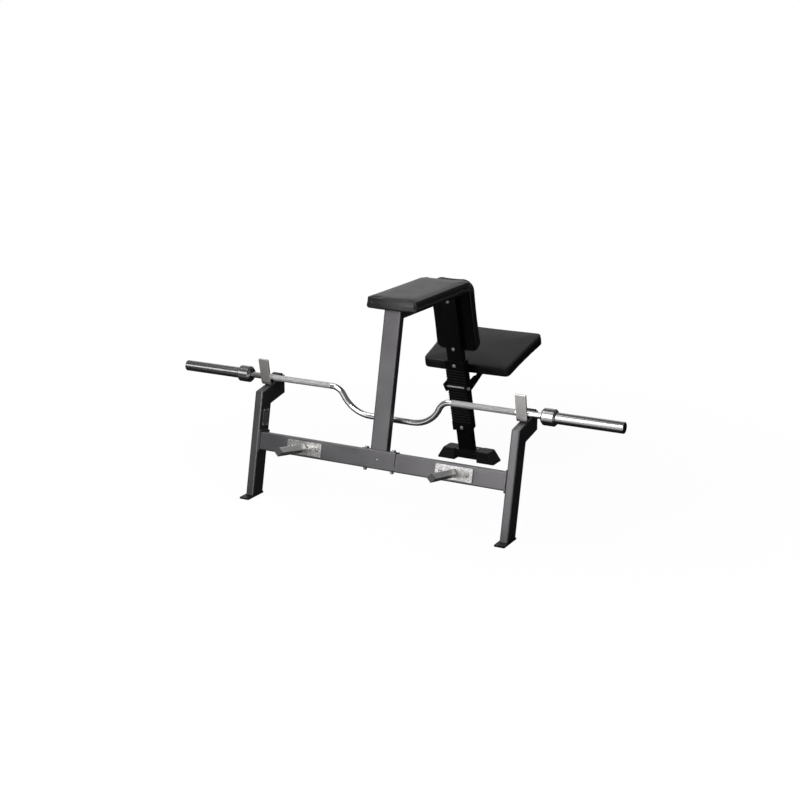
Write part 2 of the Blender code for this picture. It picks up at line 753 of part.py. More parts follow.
def make_spine(front, rear, root, grey, black):
    """Front post, top beam and rear post: one line of tube, the beam butted between the posts."""
    saddle_top = BEAM_LOW + TUBE_WIDE + GAP + SADDLE_PLATE + GAP
    front_turn = front.matrix_basis.to_3x3()
    rear_turn = rear.matrix_basis.to_3x3()
    seat = (front.matrix_basis @ Vector((0, 0, saddle_top)), front_turn @ Vector((0, 0, 1)))
    make_tube("front_post", (TUBE_WIDE, TUBE_NARROW), [seat, level_plane(TOP_BEAM_TOP_Z)],
              grey, front, move(0, TUBE_NARROW / 2, 0))
    front_end = (front.matrix_basis @ Vector((0, TUBE_NARROW + GAP, 0)), front_turn @ Vector((0, 1, 0)))
    rear_end = (rear.matrix_basis @ Vector((0, -GAP, 0)), rear_turn @ Vector((0, 1, 0)))
    make_tube("top_beam", (TUBE_WIDE, TUBE_NARROW), [front_end, rear_end],
              grey, root, move(0, 0, TOP_BEAM_TOP_Z - TUBE_NARROW / 2) @ facing("+Y"))
    post = make_tube("rear_post", (TUBE_WIDE, TUBE_NARROW),
                     [level_plane(base_plate_top() + GAP), level_plane(TOP_BEAM_TOP_Z)],
                     black, rear, move(0, TUBE_NARROW / 2, 0))
    holes = [(M10_RADIUS + HOLE_CLEARANCE, 2 * TUBE_NARROW, move(0, TUBE_NARROW / 2, z) @ facing("-Y"))
             for z in (RACK_BOLT_LOW, RACK_BOLT_HIGH, HIP_BOLT_LOW, HIP_BOLT_HIGH)]
    drill(post, rear, holes)


# Rear foot

def base_plate_top():
    return FOOT_BAR_LOW + FOOT_BAR_HEIGHT + GAP + BASE_PLATE_THICK


def make_rear_foot(root, steel, rubber):
    """A cross tube whose ends sit in two moulded blocks, with a plate on it for the rear post."""
    bar_front = REAR_POST_Y - FOOT_BAR_AHEAD
    middle = Vector((0, bar_front + FOOT_BAR_DEPTH / 2, FOOT_BAR_LOW + FOOT_BAR_HEIGHT / 2))
    make_tube("rear_foot_bar", (FOOT_BAR_HEIGHT, FOOT_BAR_DEPTH),
              [upright_plane(-FOOT_BAR_HALF), upright_plane(FOOT_BAR_HALF)], steel, root,
              Matrix.Translation(middle) @ facing("+X"))
    bm = bmesh.new()
    plate_width = 2 * (FOOT_BLOCK_INNER - 0.002)
    add_prism(bm, rounded_rectangle(plate_width, BASE_PLATE_LENGTH, PLATE_CORNER), 0, BASE_PLATE_THICK)
    plate_middle = REAR_POST_Y - BASE_PLATE_AHEAD + BASE_PLATE_LENGTH / 2
    plate = make_object("foot_base_plate", bm, steel, root,
                        move(0, plate_middle, base_plate_top() - BASE_PLATE_THICK))
    soften(plate, PLATE_EDGE, 1)
    front_y = bar_front - FOOT_BLOCK_FRONT_WALL
    low_rear = front_y + FOOT_BLOCK_DEPTH_LOW
    top_rear = front_y + FOOT_BLOCK_DEPTH_TOP
    for side, tag in ((-1, "left"), (1, "right")):
        rings = []
        for outer, rear_y, z in ((FOOT_BLOCK_OUTER_LOW, low_rear, 0),
                                 (FOOT_BLOCK_OUTER_LOW, low_rear, FOOT_BLOCK_SKIRT),
                                 (FOOT_BLOCK_OUTER_TOP, top_rear, FOOT_BLOCK_HEIGHT)):
            corners = [(FOOT_BLOCK_INNER, front_y), (outer, front_y), (outer, rear_y),
                       (FOOT_BLOCK_INNER, rear_y)]
            rings.append([(side * x, y, z) for x, y in filleted(corners, [0.003, 0.008, 0.008, 0.003])])
        bm = bmesh.new()
        add_loft(bm, rings)
        block = make_object(tag + "_foot_block", bm, rubber, root)
        soften(block, BLOCK_EDGE, 1)
        bm = bmesh.new()
        pocket = rounded_rectangle(FOOT_BAR_DEPTH + 2 * GAP, FOOT_BAR_HEIGHT + 2 * GAP, TUBE_CORNER)
        open_end = side * (FOOT_BLOCK_INNER - FOOT_BAR_HEIGHT / 2)
        add_prism(bm, pocket, open_end, side * (FOOT_BAR_HALF + GAP), side_prism_matrix())
        cutter = make_object(tag + "_foot_block_pocket", bm, None, root, Matrix.Translation(middle))
        boolean(block, cutter, "DIFFERENCE")


# Rack

def notch_heights():
    return [NOTCH_TOP - NOTCH_PITCH * i for i in range(NOTCH_COUNT)]


def rod_height():
    return NOTCH_TOP - NOTCH_PITCH * REST_NOTCH


def make_rack(rear, black, zinc):
    """A toothed channel round the post, with a round-bottomed notch for the lock rod at each step."""
    seat = ROD_RADIUS + 2 * GAP
    face = -RACK_FACE
    back = -GAP
    outline = [(back, RACK_HIGH), (back, RACK_LOW), (face, RACK_LOW)]
    for height in reversed(notch_heights()):
        for k in range(NOTCH_FACETS + 1):
            angle = math.radians(-90 - 144 * k / NOTCH_FACETS)
            outline.append((face - seat * math.cos(angle), height + seat * math.sin(angle)))
        outline.append((face, height + seat * 1.12))
    outline.append((face, RACK_HIGH))
    inner = TUBE_WIDE / 2 + SLIDE_CLEARANCE
    half = inner + RACK_SIDE_WALL
    bm = bmesh.new()
    add_prism(bm, outline, -half, half, side_prism_matrix())
    rack = make_object("rack", bm, black, rear, sharp=30)
    overlap = 0.003
    flange = [(back - overlap, RACK_LOW), (TUBE_NARROW, RACK_LOW + RACK_END_SLOPE),
              (TUBE_NARROW, RACK_HIGH - RACK_END_SLOPE), (back - overlap, RACK_HIGH)]
    for side, tag in ((-1, "left"), (1, "right")):
        bm = bmesh.new()
        add_prism(bm, flange, side * inner, side * half, side_prism_matrix())
        boolean(rack, make_object(tag + "_rack_flange", bm, None, rear), "UNION")
    heights = (RACK_BOLT_LOW, RACK_BOLT_HIGH)
    drill(rack, rear, [(M10_RADIUS + HOLE_CLEARANCE, 4 * RACK_FACE, move(0, face, z) @ facing("-Y"))
                       for z in heights])
    for z, tag in zip(heights, ("lower", "upper")):
        bm = bmesh.new()
        length = RACK_FACE + TUBE_NARROW - BOLT_SHORT
        add_button_bolt(bm, M10_RADIUS, length, M10_HEAD_RADIUS, M10_HEAD, Matrix.Identity(4))
        make_object(tag + "_rack_bolt", bm, zinc, rear, move(0, face - GAP, z) @ facing("-Y"))


# Seat carriage. Its empty lies on the lock rod's axis, in the notch where the seat rests.

def rod_reach():
    """How far in front of the post the lock rod's axis lies."""
    return RACK_FACE


def make_carriage(carriage, black, board, leather, zinc, nylon):
    """Two cheeks beside the post, the lock rod in front, a roller behind, and the seat."""
    inner = TUBE_WIDE / 2 + SLIDE_CLEARANCE + RACK_SIDE_WALL + CHEEK_CLEARANCE
    outer = inner + CHEEK_THICK
    roller_y = rod_reach() + TUBE_NARROW + SLIDE_CLEARANCE + ROLLER_RADIUS
    plate_front = rod_reach() + SEAT_FRONT + SEAT_PLATE_SETBACK
    tail = plate_front + SEAT_PLATE_LENGTH - CHEEK_THICK
    profile = [(-CHEEK_NOSE, CHEEK_NOSE_TOP), (-CHEEK_CHIN, -CHEEK_CHIN_LOW), (-CHEEK_FLAT_FRONT, -CHEEK_LOW),
               (CHEEK_FLAT_REAR, -CHEEK_LOW), (CHEEK_KNEE, -CHEEK_KNEE_LOW),
               (tail, CHEEK_TOP - CHEEK_TAIL_DEPTH), (tail, CHEEK_TOP), (plate_front - CHEEK_STEP, CHEEK_TOP),
               (plate_front - 2 * CHEEK_STEP, CHEEK_NOSE_TOP)]
    radii = [0.004, 0.004, 0.004, 0.02, 0.02, 0.006, 0.003, 0.01, 0.01]
    across = 4 * CHEEK_THICK
    for side, tag in ((-1, "left"), (1, "right")):
        bm = bmesh.new()
        add_prism(bm, filleted(profile, radii), side * inner, side * outer, side_prism_matrix())
        cheek = make_object(tag + "_cheek", bm, black, carriage)
        x = side * (inner + outer) / 2
        drill(cheek, carriage, [
            (ROD_RADIUS + HOLE_CLEARANCE, across, move(x, 0, 0) @ facing("+X")),
            (ROLLER_PIN_RADIUS + HOLE_CLEARANCE, across, move(x, roller_y, -ROLLER_DROP) @ facing("+X"))])
    bm = bmesh.new()
    rod_length = 2 * outer + 2 * GAP + M10_NUT + BOLT_TAIL
    add_hex_bolt(bm, ROD_RADIUS, rod_length, M10_FLATS, M10_HEAD, Matrix.Identity(4))
    make_object("lock_rod", bm, zinc, carriage, move(-outer - GAP, 0, 0) @ facing("-X"))
    bm = bmesh.new()
    add_hex_nut(bm, ROD_RADIUS, M10_FLATS, M10_NUT, Matrix.Identity(4))
    make_object("lock_rod_nut", bm, zinc, carriage, move(outer + GAP, 0, 0) @ facing("+X"))
    half = inner - 3 * SLIDE_CLEARANCE
    bore = ROLLER_PIN_RADIUS + GAP
    edge = 0.001
    ring = [(bore, -half), (ROLLER_RADIUS - edge, -half), (ROLLER_RADIUS, -half + edge),
            (ROLLER_RADIUS, half - edge), (ROLLER_RADIUS - edge, half), (bore, half)]
    bm = bmesh.new()
    add_turned_ring(bm, ring, ROUND_SIDES)
    make_object("guide_roller", bm, nylon, carriage, move(0, roller_y, -ROLLER_DROP) @ facing("+X"))
    bm = bmesh.new()
    pin_length = 2 * outer + GAP + BOLT_TAIL
    add_button_bolt(bm, ROLLER_PIN_RADIUS, pin_length, M10_HEAD_RADIUS, M10_HEAD, Matrix.Identity(4))
    make_object("guide_roller_pin", bm, zinc, carriage,
                move(-outer - GAP, roller_y, -ROLLER_DROP) @ facing("-X"))
    make_seat(carriage, plate_front, black, board, leather)


def make_seat(carriage, plate_front, black, board, leather):
    """The steel plate on the cheeks, then board and cushion."""
    plate_low = CHEEK_TOP + GAP
    bm = bmesh.new()
    outline = rounded_rectangle(2 * SEAT_PLATE_HALF, SEAT_PLATE_LENGTH, SEAT_PLATE_CORNER, 4)
    add_prism(bm, outline, 0, SEAT_PLATE_THICK)
    plate = make_object("seat_plate", bm, black, carriage,
                        move(0, plate_front + SEAT_PLATE_LENGTH / 2, plate_low))
    soften(plate, PLATE_EDGE, 1)
    place = move(0, rod_reach() + SEAT_FRONT, plate_low + SEAT_PLATE_THICK + GAP)
    outline = pad_outline(SEAT_HALF_FRONT, SEAT_HALF_REAR, SEAT_LENGTH, SEAT_CORNERS, SEAT_DRAW_IN, SEAT_BOW)
    make_board("seat_board", outline, board, carriage, place)
    make_cushion("seat_cushion", outline, SEAT_THICK, SEAT_CROWN, leather, carriage, place)


# Chest pad and hip pad

def make_chest_pad(root, board, leather):
    """The long, narrow pad that lies along the top beam."""
    place = move(0, CHEST_FRONT_Y, TOP_BEAM_TOP_Z + GAP)
    outline = pad_outline(CHEST_HALF_WIDTH, CHEST_HALF_WIDTH, CHEST_LENGTH, CHEST_CORNERS, CHEST_DRAW_IN,
                          CHEST_BOW)
    make_board("chest_pad_board", outline, board, root, place)
    make_cushion("chest_pad_cushion", outline, CHEST_THICK, CHEST_CROWN, leather, root, place)


def make_hip_pad(rear, board, leather, zinc):
    """The pad behind the rear post, bolted right through it."""
    back = TUBE_NARROW + GAP
    stand = move(0, back, HIP_LOW) @ facing("+Y") @ Matrix.Rotation(math.pi, 4, "Z")
    outline = pad_outline(HIP_HALF_WIDTH, HIP_HALF_WIDTH, HIP_HIGH - HIP_LOW, HIP_CORNERS, HIP_DRAW_IN, 0)
    under = make_board("hip_pad_board", outline, board, rear, stand)
    heights = (HIP_BOLT_LOW, HIP_BOLT_HIGH)
    drill(under, rear, [(M10_RADIUS + HOLE_CLEARANCE, 2 * HIP_BOLT_DEPTH, move(0, back, z) @ facing("-Y"))
                        for z in heights])
    make_cushion("hip_pad_cushion", outline, HIP_THICK, HIP_CROWN, leather, rear, stand)
    for z, tag in zip(heights, ("lower", "upper")):
        bm = bmesh.new()
        length = GAP + back + HIP_BOLT_DEPTH - HOLE_BOTTOM
        add_button_bolt(bm, M10_RADIUS, length, M10_HEAD_RADIUS, M10_HEAD, Matrix.Identity(4))
        make_object(tag + "_hip_pad_bolt", bm, zinc, rear, move(0, -GAP, z) @ facing("-Y"))


# Bar

def camber_points():
    """The shaft's centre line on the right half: (x, depth below the axis, slope)."""
    turn = CAMBER_ANGLE
    steps = 9
    points = [(CAMBER_FLAT_HALF, 0.0, 0.0)]
    for k in range(1, steps + 1):
        angle = turn * k / steps
        x = CAMBER_FLAT_HALF + CAMBER_LOW_RADIUS * math.sin(angle)
        points.append((x, CAMBER_LOW_RADIUS * (1 - math.cos(angle)), angle))
    start_x, start_z, _ = points[-1]
    for k in range(steps - 1, -1, -1):
        angle = turn * k / steps
        x = start_x + CAMBER_HIGH_RADIUS * (math.sin(turn) - math.sin(angle))
        z = start_z + CAMBER_HIGH_RADIUS * (math.cos(angle) - math.cos(turn))
        points.append((x, z, angle))
    depth = points[-1][1]
    return [(x, z - depth, angle) for x, z, angle in points]


def collar_inner():
    """Where a sleeve starts: its collar stands clear of the hook."""
    return UPRIGHT_INNER + TUBE_NARROW / 2 + HOOK_WIDTH / 2 + COLLAR_FROM_HOOK


def make_bar(bar, chrome):
    """The shaft: straight at the ends, dropped in the middle, turned down inside the sleeves."""
    end = BAR_HALF - SHAFT_END
    neck = collar_inner() + SHAFT_RADIUS / 4
    thin = SHAFT_RADIUS - SHAFT_NECK_STEP
    right = camber_points() + [(neck, 0.0, 0.0)]
    stations = [(x, z, angle, SHAFT_RADIUS) for x, z, angle in right]
    stations += [(neck + SHAFT_NECK_STEP / 2, 0.0, 0.0, thin), (end, 0.0, 0.0, thin)]
    left = [(-x, z, -angle, radius) for x, z, angle, radius in reversed(stations)]
    rings = []
    for x, z, angle, radius in left + stations:
        across = Vector((-math.sin(angle), 0, math.cos(angle)))
        centre = Vector((x, 0, z))
        rings.append([centre + across * u + Vector((0, v, 0)) for u, v in circle(radius, ROUND_SIDES)])
    bm = bmesh.new()
    add_loft(bm, rings)
    make_object("bar_shaft", bm, chrome, bar, sharp=60)


def make_sleeve(side, tag, holder, chrome, bronze, plastic):
    """A turned sleeve with its collar, two bushes and an end cap, along its own Z from the collar."""
    bush_in = SHAFT_RADIUS - SHAFT_NECK_STEP + GAP
    bush_out = bush_in + BUSH_WALL
    bore = bush_out + GAP
    long = BAR_HALF - collar_inner()
    mouth = 0.005
    recess = 0.006
    cut = COLLAR_CHAMFER
    rear_cut = COLLAR_REAR_CHAMFER
    mouth_radius = SHAFT_RADIUS + 0.004
    cap_radius = SLEEVE_RADIUS - 0.004
    edge = SLEEVE_EDGE
    profile = [(mouth_radius, 0), (COLLAR_RADIUS - cut, 0), (COLLAR_RADIUS, cut),
               (COLLAR_RADIUS, COLLAR_LENGTH - rear_cut), (COLLAR_RADIUS - rear_cut, COLLAR_LENGTH),
               (SLEEVE_RADIUS, COLLAR_LENGTH), (SLEEVE_RADIUS, long - edge), (SLEEVE_RADIUS - edge, long),
               (cap_radius, long), (cap_radius, long - recess), (bore, long - recess), (bore, mouth),
               (mouth_radius, mouth)]
    turn = facing("+X") if side > 0 else facing("-X")
    bm = bmesh.new()
    add_turned_ring(bm, profile, 32)
    make_object(tag + "_sleeve", bm, chrome, holder, turn, sharp=25)
    ring = [(bush_in, 0), (bush_out, 0), (bush_out, BUSH_LENGTH), (bush_in, BUSH_LENGTH)]
    outer_start = long - 2 * recess - BUSH_LENGTH
    for z, place in ((mouth + edge, "_inner_bush"), (outer_start, "_outer_bush")):
        bm = bmesh.new()
        add_turned_ring(bm, ring, ROUND_SIDES)
        make_object(tag + place, bm, bronze, holder, turn @ move(0, 0, z))
    bm = bmesh.new()
    face = cap_radius - GAP
    base = long - recess + GAP
    add_turned(bm, [(face, base), (face, long - edge), (face - edge, long - edge / 4)], 32)
    make_object(tag + "_sleeve_cap", bm, plastic, holder, turn, sharp=25)


def centre_on_origin(root):
    """Moves the whole bench so that the origin is the middle of its box's floor."""
    bpy.context.view_layer.update()
    depsgraph = bpy.context.evaluated_depsgraph_get()
    corners = []
    for item in bpy.data.objects:
        if item.type == "MESH" and not item.hide_render:
            solid = item.evaluated_get(depsgraph)
            corners += [item.matrix_world @ vertex.co for vertex in solid.data.vertices]
    middle = [(min(c[i] for c in corners) + max(c[i] for c in corners)) / 2 for i in (0, 1)]
    low = min(c.z for c in corners)
    root.location = (-middle[0], -middle[1], -low)


def build():
    clear_scene()
    grey = make_material("grey_frame_paint", (0.16, 0.16, 0.165), 0.6, 0.42)
    black = make_material("black_paint", (0.012, 0.012, 0.013), 0.2, 0.4)
    brushed = make_material("brushed_steel", (0.62, 0.60, 0.58), 1.0, 0.33)
    polished = make_material("polished_steel", (0.78, 0.78, 0.78), 1.0, 0.12)
    chrome = make_material("chrome", (0.82, 0.82, 0.83), 1.0, 0.10)
    zinc = make_material("zinc_fasteners", (0.70, 0.70, 0.72), 1.0, 0.25)
    leather = make_material("black_leatherette", (0.022, 0.022, 0.024), 0.0, 0.5)
    board = make_material("black_stained_board", (0.018, 0.017, 0.016), 0.0, 0.7)
    rubber = make_material("black_rubber", (0.020, 0.020, 0.021), 0.0, 0.75)
    plastic = make_material("black_plastic", (0.025, 0.025, 0.027), 0.0, 0.5)
    bronze = make_material("bronze", (0.60, 0.42, 0.22), 1.0, 0.35)

    root = make_empty("bench", Matrix.Identity(4))
    front = make_empty("front_frame_axis", Matrix.Rotation(-FRAME_LEAN, 4, "X"), root)
    rear = make_empty("rear_post_axis", move(0, REAR_POST_Y, 0) @ Matrix.Rotation(REAR_LEAN, 4, "X"), root)
    carriage = make_empty("seat_carriage", move(0, -rod_reach(), rod_height()), rear)
    bar_y, bar_z = bar_axis()
    bar = make_empty("bar", move(0, bar_y, bar_z) @ Matrix.Rotation(CAMBER_SWING, 4, "X"), root)

    make_beam(front, grey)
    make_uprights(front, root, grey)
    make_head_plugs(root, plastic)
    make_foot_plates(root, black)
    make_hooks(root, brushed, plastic)
    make_pegs(front, polished, plastic)
    make_saddle(front, grey, zinc)
    make_spine(front, rear, root, grey, black)
    make_rear_foot(root, black, rubber)
    make_rack(rear, black, zinc)
    make_carriage(carriage, black, board, leather, zinc, plastic)
    make_chest_pad(root, board, leather)
    make_hip_pad(rear, board, leather, zinc)
    make_bar(bar, chrome)
    for side, tag in ((-1, "left"), (1, "right")):
        holder = make_empty(tag + "_sleeve_axis", move(side * collar_inner(), 0, 0), bar)
        make_sleeve(side, tag, holder, chrome, bronze, plastic)
    centre_on_origin(root)


build()
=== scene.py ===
"""Looks of a seal row bench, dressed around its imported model.

Paint, leatherette, steel, seams, welds and small hardware, in metres.
"""

import json
import math

import bmesh
import bpy
from mathutils import Matrix, Vector
from mathutils.bvhtree import BVHTree


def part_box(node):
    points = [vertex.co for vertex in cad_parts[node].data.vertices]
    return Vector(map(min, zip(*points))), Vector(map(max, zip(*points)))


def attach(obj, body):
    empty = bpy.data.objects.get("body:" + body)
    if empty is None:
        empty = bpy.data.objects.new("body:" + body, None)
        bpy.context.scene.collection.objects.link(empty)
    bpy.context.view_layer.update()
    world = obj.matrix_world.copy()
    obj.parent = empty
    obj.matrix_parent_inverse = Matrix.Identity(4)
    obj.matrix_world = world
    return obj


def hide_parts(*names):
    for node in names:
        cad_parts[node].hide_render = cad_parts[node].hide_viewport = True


# Camera, in metres and degrees, with its lens and sensor in millimetres
EYE = (3.0803, -6.1018, 2.2952)
AZIMUTH = 27.99
PITCH = 15.42
ROLL = 0.23
FOCAL_LENGTH = 67.87
SENSOR = 36.0
VIEW_END = 60

# The two leaning frames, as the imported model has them
FRAME_LEAN = math.radians(12)
FOOT_PLATE_REACH = 0.079
FRAME_UP = Vector((0, math.sin(FRAME_LEAN), math.cos(FRAME_LEAN)))
FRAME_FRONT = Vector((0, -math.cos(FRAME_LEAN), math.sin(FRAME_LEAN)))
POST_LEAN = math.radians(16)
POST_UP = Vector((0, -math.sin(POST_LEAN), math.cos(POST_LEAN)))
POST_BACK = Vector((0, math.cos(POST_LEAN), math.sin(POST_LEAN)))
WORLD_X = Vector((1, 0, 0))
WORLD_Y = Vector((0, 1, 0))
WORLD_UP = Vector((0, 0, 1))

# Cushions
VOXEL = 0.005
PRESSURE = 4.0
SWELL_FRAMES = 20
START_INSET = 0.0015
SWELL_LIMIT = 0.0035
UNDERSIDE = 0.016
SEAM_DROP = 0.007
SEAM_WIDTH = 0.0022
SEAM_DEPTH = 0.0022
CORNER_SEAM_DEPTH = 0.0014
CORNER_REACH = 0.05
STITCH_DROP = 0.0055
STITCH_PITCH = 0.007
STITCH_LENGTH = 0.0045
STITCH_RADIUS = 0.0006
STITCH_SHAPE = ((-0.5, -0.3, 0.5), (-0.3, 0.5, 0.9), (0, 0.8, 1.0), (0.3, 0.5, 0.9), (0.5, -0.3, 0.5))
WELT_DROP = 0.0005
WELT_RADIUS = 0.0017
WELT_LIFT = 0.0004

# Small hardware, along and out of the front frame's plane
BEAM_MIDDLE = 0.2645
PLATE_X = 0.378
PLATE_BOLT_REACH = 0.065
PLATE_FACE = 0.0053
END_BOLT_SPREAD = 0.025
END_BOLT_DEPTH = -0.0585
END_PLATE_X = 0.6187
SCREW_HEIGHT = 0.266
SADDLE_FACE = 0.0043
BASE_BOLT_X = 0.049

# The white part of the floor that gloss sees, in front of the bench
GLOSS_LEFT = -2.0
GLOSS_FULL = -0.4
GLOSS_FRONT = -1.5
GLOSS_END = -1.0

# The riveted plate on the left upright
TAG_HEIGHT = 0.372
TAG_DEPTH = -0.040
TAG_LENGTH = 0.080
TAG_WIDTH = 0.046
TAG_THICK = 0.0012
TAG_CORNER = 0.003
TAG_SUNK = 0.0002
RIVET_INSET = 0.006
RIVET_RADIUS = 0.0042
RIVET_HEIGHT = 0.0022

# Welds
BEAD_RADIUS = 0.0032
BEAD_STEP = 0.0008
RIPPLE_PITCH = 0.0032
WELD_LIFT = 0.0012

# Grips on the bar, with their knurl
GRIP_START = 0.305
GRIP_END = 0.610
GRIP_FADE = 0.0005
KNURL_ROWS = 26.0
KNURL_PITCH = 0.014

# The floor
FLOOR_RADIUS = 14.0

# The fasteners whose zinc is painted near white, a painted highlight
BRIGHT_NODES = ("upper_rack_bolt", "lower_rack_bolt", "upper_hip_pad_bolt", "lower_hip_pad_bolt",
                "lock_rod_nut")


def linked(tree, source, target):
    tree.links.new(source, target)


def node(tree, kind, **values):
    """A new node with some of its inputs or properties set by name."""
    made = tree.nodes.new(kind)
    for name, value in values.items():
        if name in made.inputs:
            made.inputs[name].default_value = value
        else:
            setattr(made, name, value)
    return made


def math_node(tree, operation, first, second):
    made = tree.nodes.new("ShaderNodeMath")
    made.operation = operation
    for place, value in enumerate((first, second)):
        if isinstance(value, (int, float)):
            made.inputs[place].default_value = value
        else:
            linked(tree, value, made.inputs[place])
    return made.outputs[0]


def new_material(name, metallic, specular):
    """A material, its node tree and its shader, with the values that are the same all over."""
    material = bpy.data.materials.new(name)
    material.use_nodes = True
    tree = material.node_tree
    shader = next(n for n in tree.nodes if n.type == "BSDF_PRINCIPLED")
    shader.inputs["Metallic"].default_value = metallic
    shader.inputs["Specular IOR Level"].default_value = specular
    return material, tree, shader


def object_position(tree, stretch=(1, 1, 1)):
    """The position on the piece in metres, stretched along each axis."""
    place = node(tree, "ShaderNodeTexCoord")
    mapping = node(tree, "ShaderNodeMapping", Scale=stretch)
    linked(tree, place.outputs["Object"], mapping.inputs["Vector"])
    return mapping.outputs["Vector"]


def noise(tree, position, scale, detail=3.0, roughness=0.55):
    made = node(tree, "ShaderNodeTexNoise", Scale=scale, Detail=detail, Roughness=roughness)
    linked(tree, position, made.inputs["Vector"])
    return made.outputs["Fac"]


def spread(tree, value, low, high, start=0.3, end=0.7):
    """Maps a texture's middle range to a range of numbers."""
    made = node(tree, "ShaderNodeMapRange")
    for name, number in (("From Min", start), ("From Max", end), ("To Min", low), ("To Max", high)):
        made.inputs[name].default_value = number
    linked(tree, value, made.inputs["Value"])
    return made.outputs["Result"]


def tint_value(tree, factor, first, second):
    """A number that goes from first to second with the factor."""
    made = node(tree, "ShaderNodeMix", data_type="FLOAT")
    for name, value in (("A", first), ("B", second)):
        socket = next(s for s in made.inputs if s.name == name and s.type == "VALUE")
        if isinstance(value, (int, float)):
            socket.default_value = value
        else:
            linked(tree, value, socket)
    linked(tree, factor, made.inputs["Factor"])
    return next(s for s in made.outputs if s.type == "VALUE")


def tint(tree, factor, first, second):
    """A colour that goes from first to second with the factor."""
    made = node(tree, "ShaderNodeMix", data_type="RGBA")
    colours = [s for s in made.inputs if s.type == "RGBA"]
    colours[0].default_value = (*first, 1)
    colours[1].default_value = (*second, 1)
    linked(tree, factor, made.inputs["Factor"])
    return next(s for s in made.outputs if s.type == "RGBA")


def bump(tree, height, distance):
    """A bump of that real height in metres."""
    made = node(tree, "ShaderNodeBump", Strength=1.0, Distance=distance)
    linked(tree, height, made.inputs["Height"])
    return made.outputs["Normal"]


def shared(tree, first, first_share, second, second_share):
    """The sum of two textures, each by its share."""
    return math_node(tree, "ADD", math_node(tree, "MULTIPLY", first, first_share),
                     math_node(tree, "MULTIPLY", second, second_share))


def painted_edge_highlight(tree, radius):
    """1 on sharp edges and 0 on flat places, from how far a rounded normal turns: the mask of the painted
    edge highlight.
    """
    rounded = node(tree, "ShaderNodeBevel", samples=6, Radius=radius)
    geometry = node(tree, "ShaderNodeNewGeometry")
    turned = node(tree, "ShaderNodeVectorMath", operation="DOT_PRODUCT")
    linked(tree, rounded.outputs["Normal"], turned.inputs[0])
    linked(tree, geometry.outputs["Normal"], turned.inputs[1])
    return spread(tree, turned.outputs["Value"], 1.0, 0.0, 0.80, 0.99)


def powder_coat(name, dark, light, edge, roughness, specular, metallic):
    """Powder coat with fine flecks and orange peel, and a painted highlight: its sharp edges are painted in a
    paler colour.
    """
    material, tree, shader = new_material(name, metallic, specular)
    position = object_position(tree)
    flecks = noise(tree, position, 2600.0, 1.0)
    clouds = noise(tree, position, 7.0, 4.0)
    mixed = shared(tree, flecks, 0.6, clouds, 0.4)
    colour = node(tree, "ShaderNodeMix", data_type="RGBA")
    paint = tint(tree, spread(tree, mixed, 0.0, 1.0, 0.35, 0.65), dark, light)
    colours = [s for s in colour.inputs if s.type == "RGBA"]
    linked(tree, paint, colours[0])
    # painted highlight: sharp edges are painted paler with the edge colour
    colours[1].default_value = (*edge, 1)
    linked(tree, math_node(tree, "MULTIPLY", painted_edge_highlight(tree, 0.0015), 0.6), colour.inputs["Factor"])
    linked(tree, next(s for s in colour.outputs if s.type == "RGBA"), shader.inputs["Base Color"])
    linked(tree, spread(tree, clouds, roughness - 0.03, roughness + 0.04), shader.inputs["Roughness"])
    peel = noise(tree, position, 420.0, 2.0)
    linked(tree, bump(tree, peel, 0.00010), shader.inputs["Normal"])
    return material


def grey_paint():
    return powder_coat("grey_powder_coat", (0.150, 0.145, 0.153), (0.245, 0.238, 0.250), (0.34, 0.33, 0.34),
                       0.40, 0.2, 0.75)


def black_paint():
    return powder_coat("black_powder_coat", (0.006, 0.006, 0.007), (0.014, 0.014, 0.015),
                       (0.045, 0.045, 0.047), 0.42, 0.25, 0.0)


def brushed_metal(name, dark, light, roughness, stretch, depth):
    """Bare metal with fine lines across one direction, and faint stains."""
    material, tree, shader = new_material(name, 1.0, 0.5)
    lines = noise(tree, object_position(tree, stretch), 60.0, 4.0, 0.7)
    stains = noise(tree, object_position(tree), 22.0, 5.0)
    linked(tree, tint(tree, spread(tree, lines, 0.0, 1.0), dark, light), shader.inputs["Base Color"])
    rough = math_node(tree, "ADD", spread(tree, stains, roughness - 0.05, roughness + 0.05),
                      spread(tree, lines, -0.03, 0.03))
    linked(tree, rough, shader.inputs["Roughness"])
    linked(tree, bump(tree, lines, depth), shader.inputs["Normal"])
    return material


def hook_steel():
    return brushed_metal("brushed_hook_steel", (0.72, 0.70, 0.68), (0.90, 0.88, 0.86), 0.38, (1, 1, 14),
                         0.00004)


def plate_steel():
    return brushed_metal("ground_steel", (0.60, 0.59, 0.58), (0.80, 0.79, 0.78), 0.26, (3, 14, 14), 0.00005)


def spangled_steel():
    """Galvanised plate: small spangles that differ in tone, shine and tilt."""
    material, tree, shader = new_material("galvanised_plate", 0.9, 0.5)
    place = object_position(tree)
    spangles = node(tree, "ShaderNodeTexVoronoi", Scale=210.0)
    linked(tree, place, spangles.inputs["Vector"])
    parts = node(tree, "ShaderNodeSeparateColor")
    linked(tree, spangles.outputs["Color"], parts.inputs[0])
    linked(tree, tint(tree, parts.outputs["Red"], (0.46, 0.455, 0.45), (0.86, 0.85, 0.84)),
           shader.inputs["Base Color"])
    linked(tree, spread(tree, parts.outputs["Green"], 0.28, 0.46, 0.0, 1.0), shader.inputs["Roughness"])
    linked(tree, bump(tree, noise(tree, place, 160.0, 3.0), 0.00025), shader.inputs["Normal"])
    return material


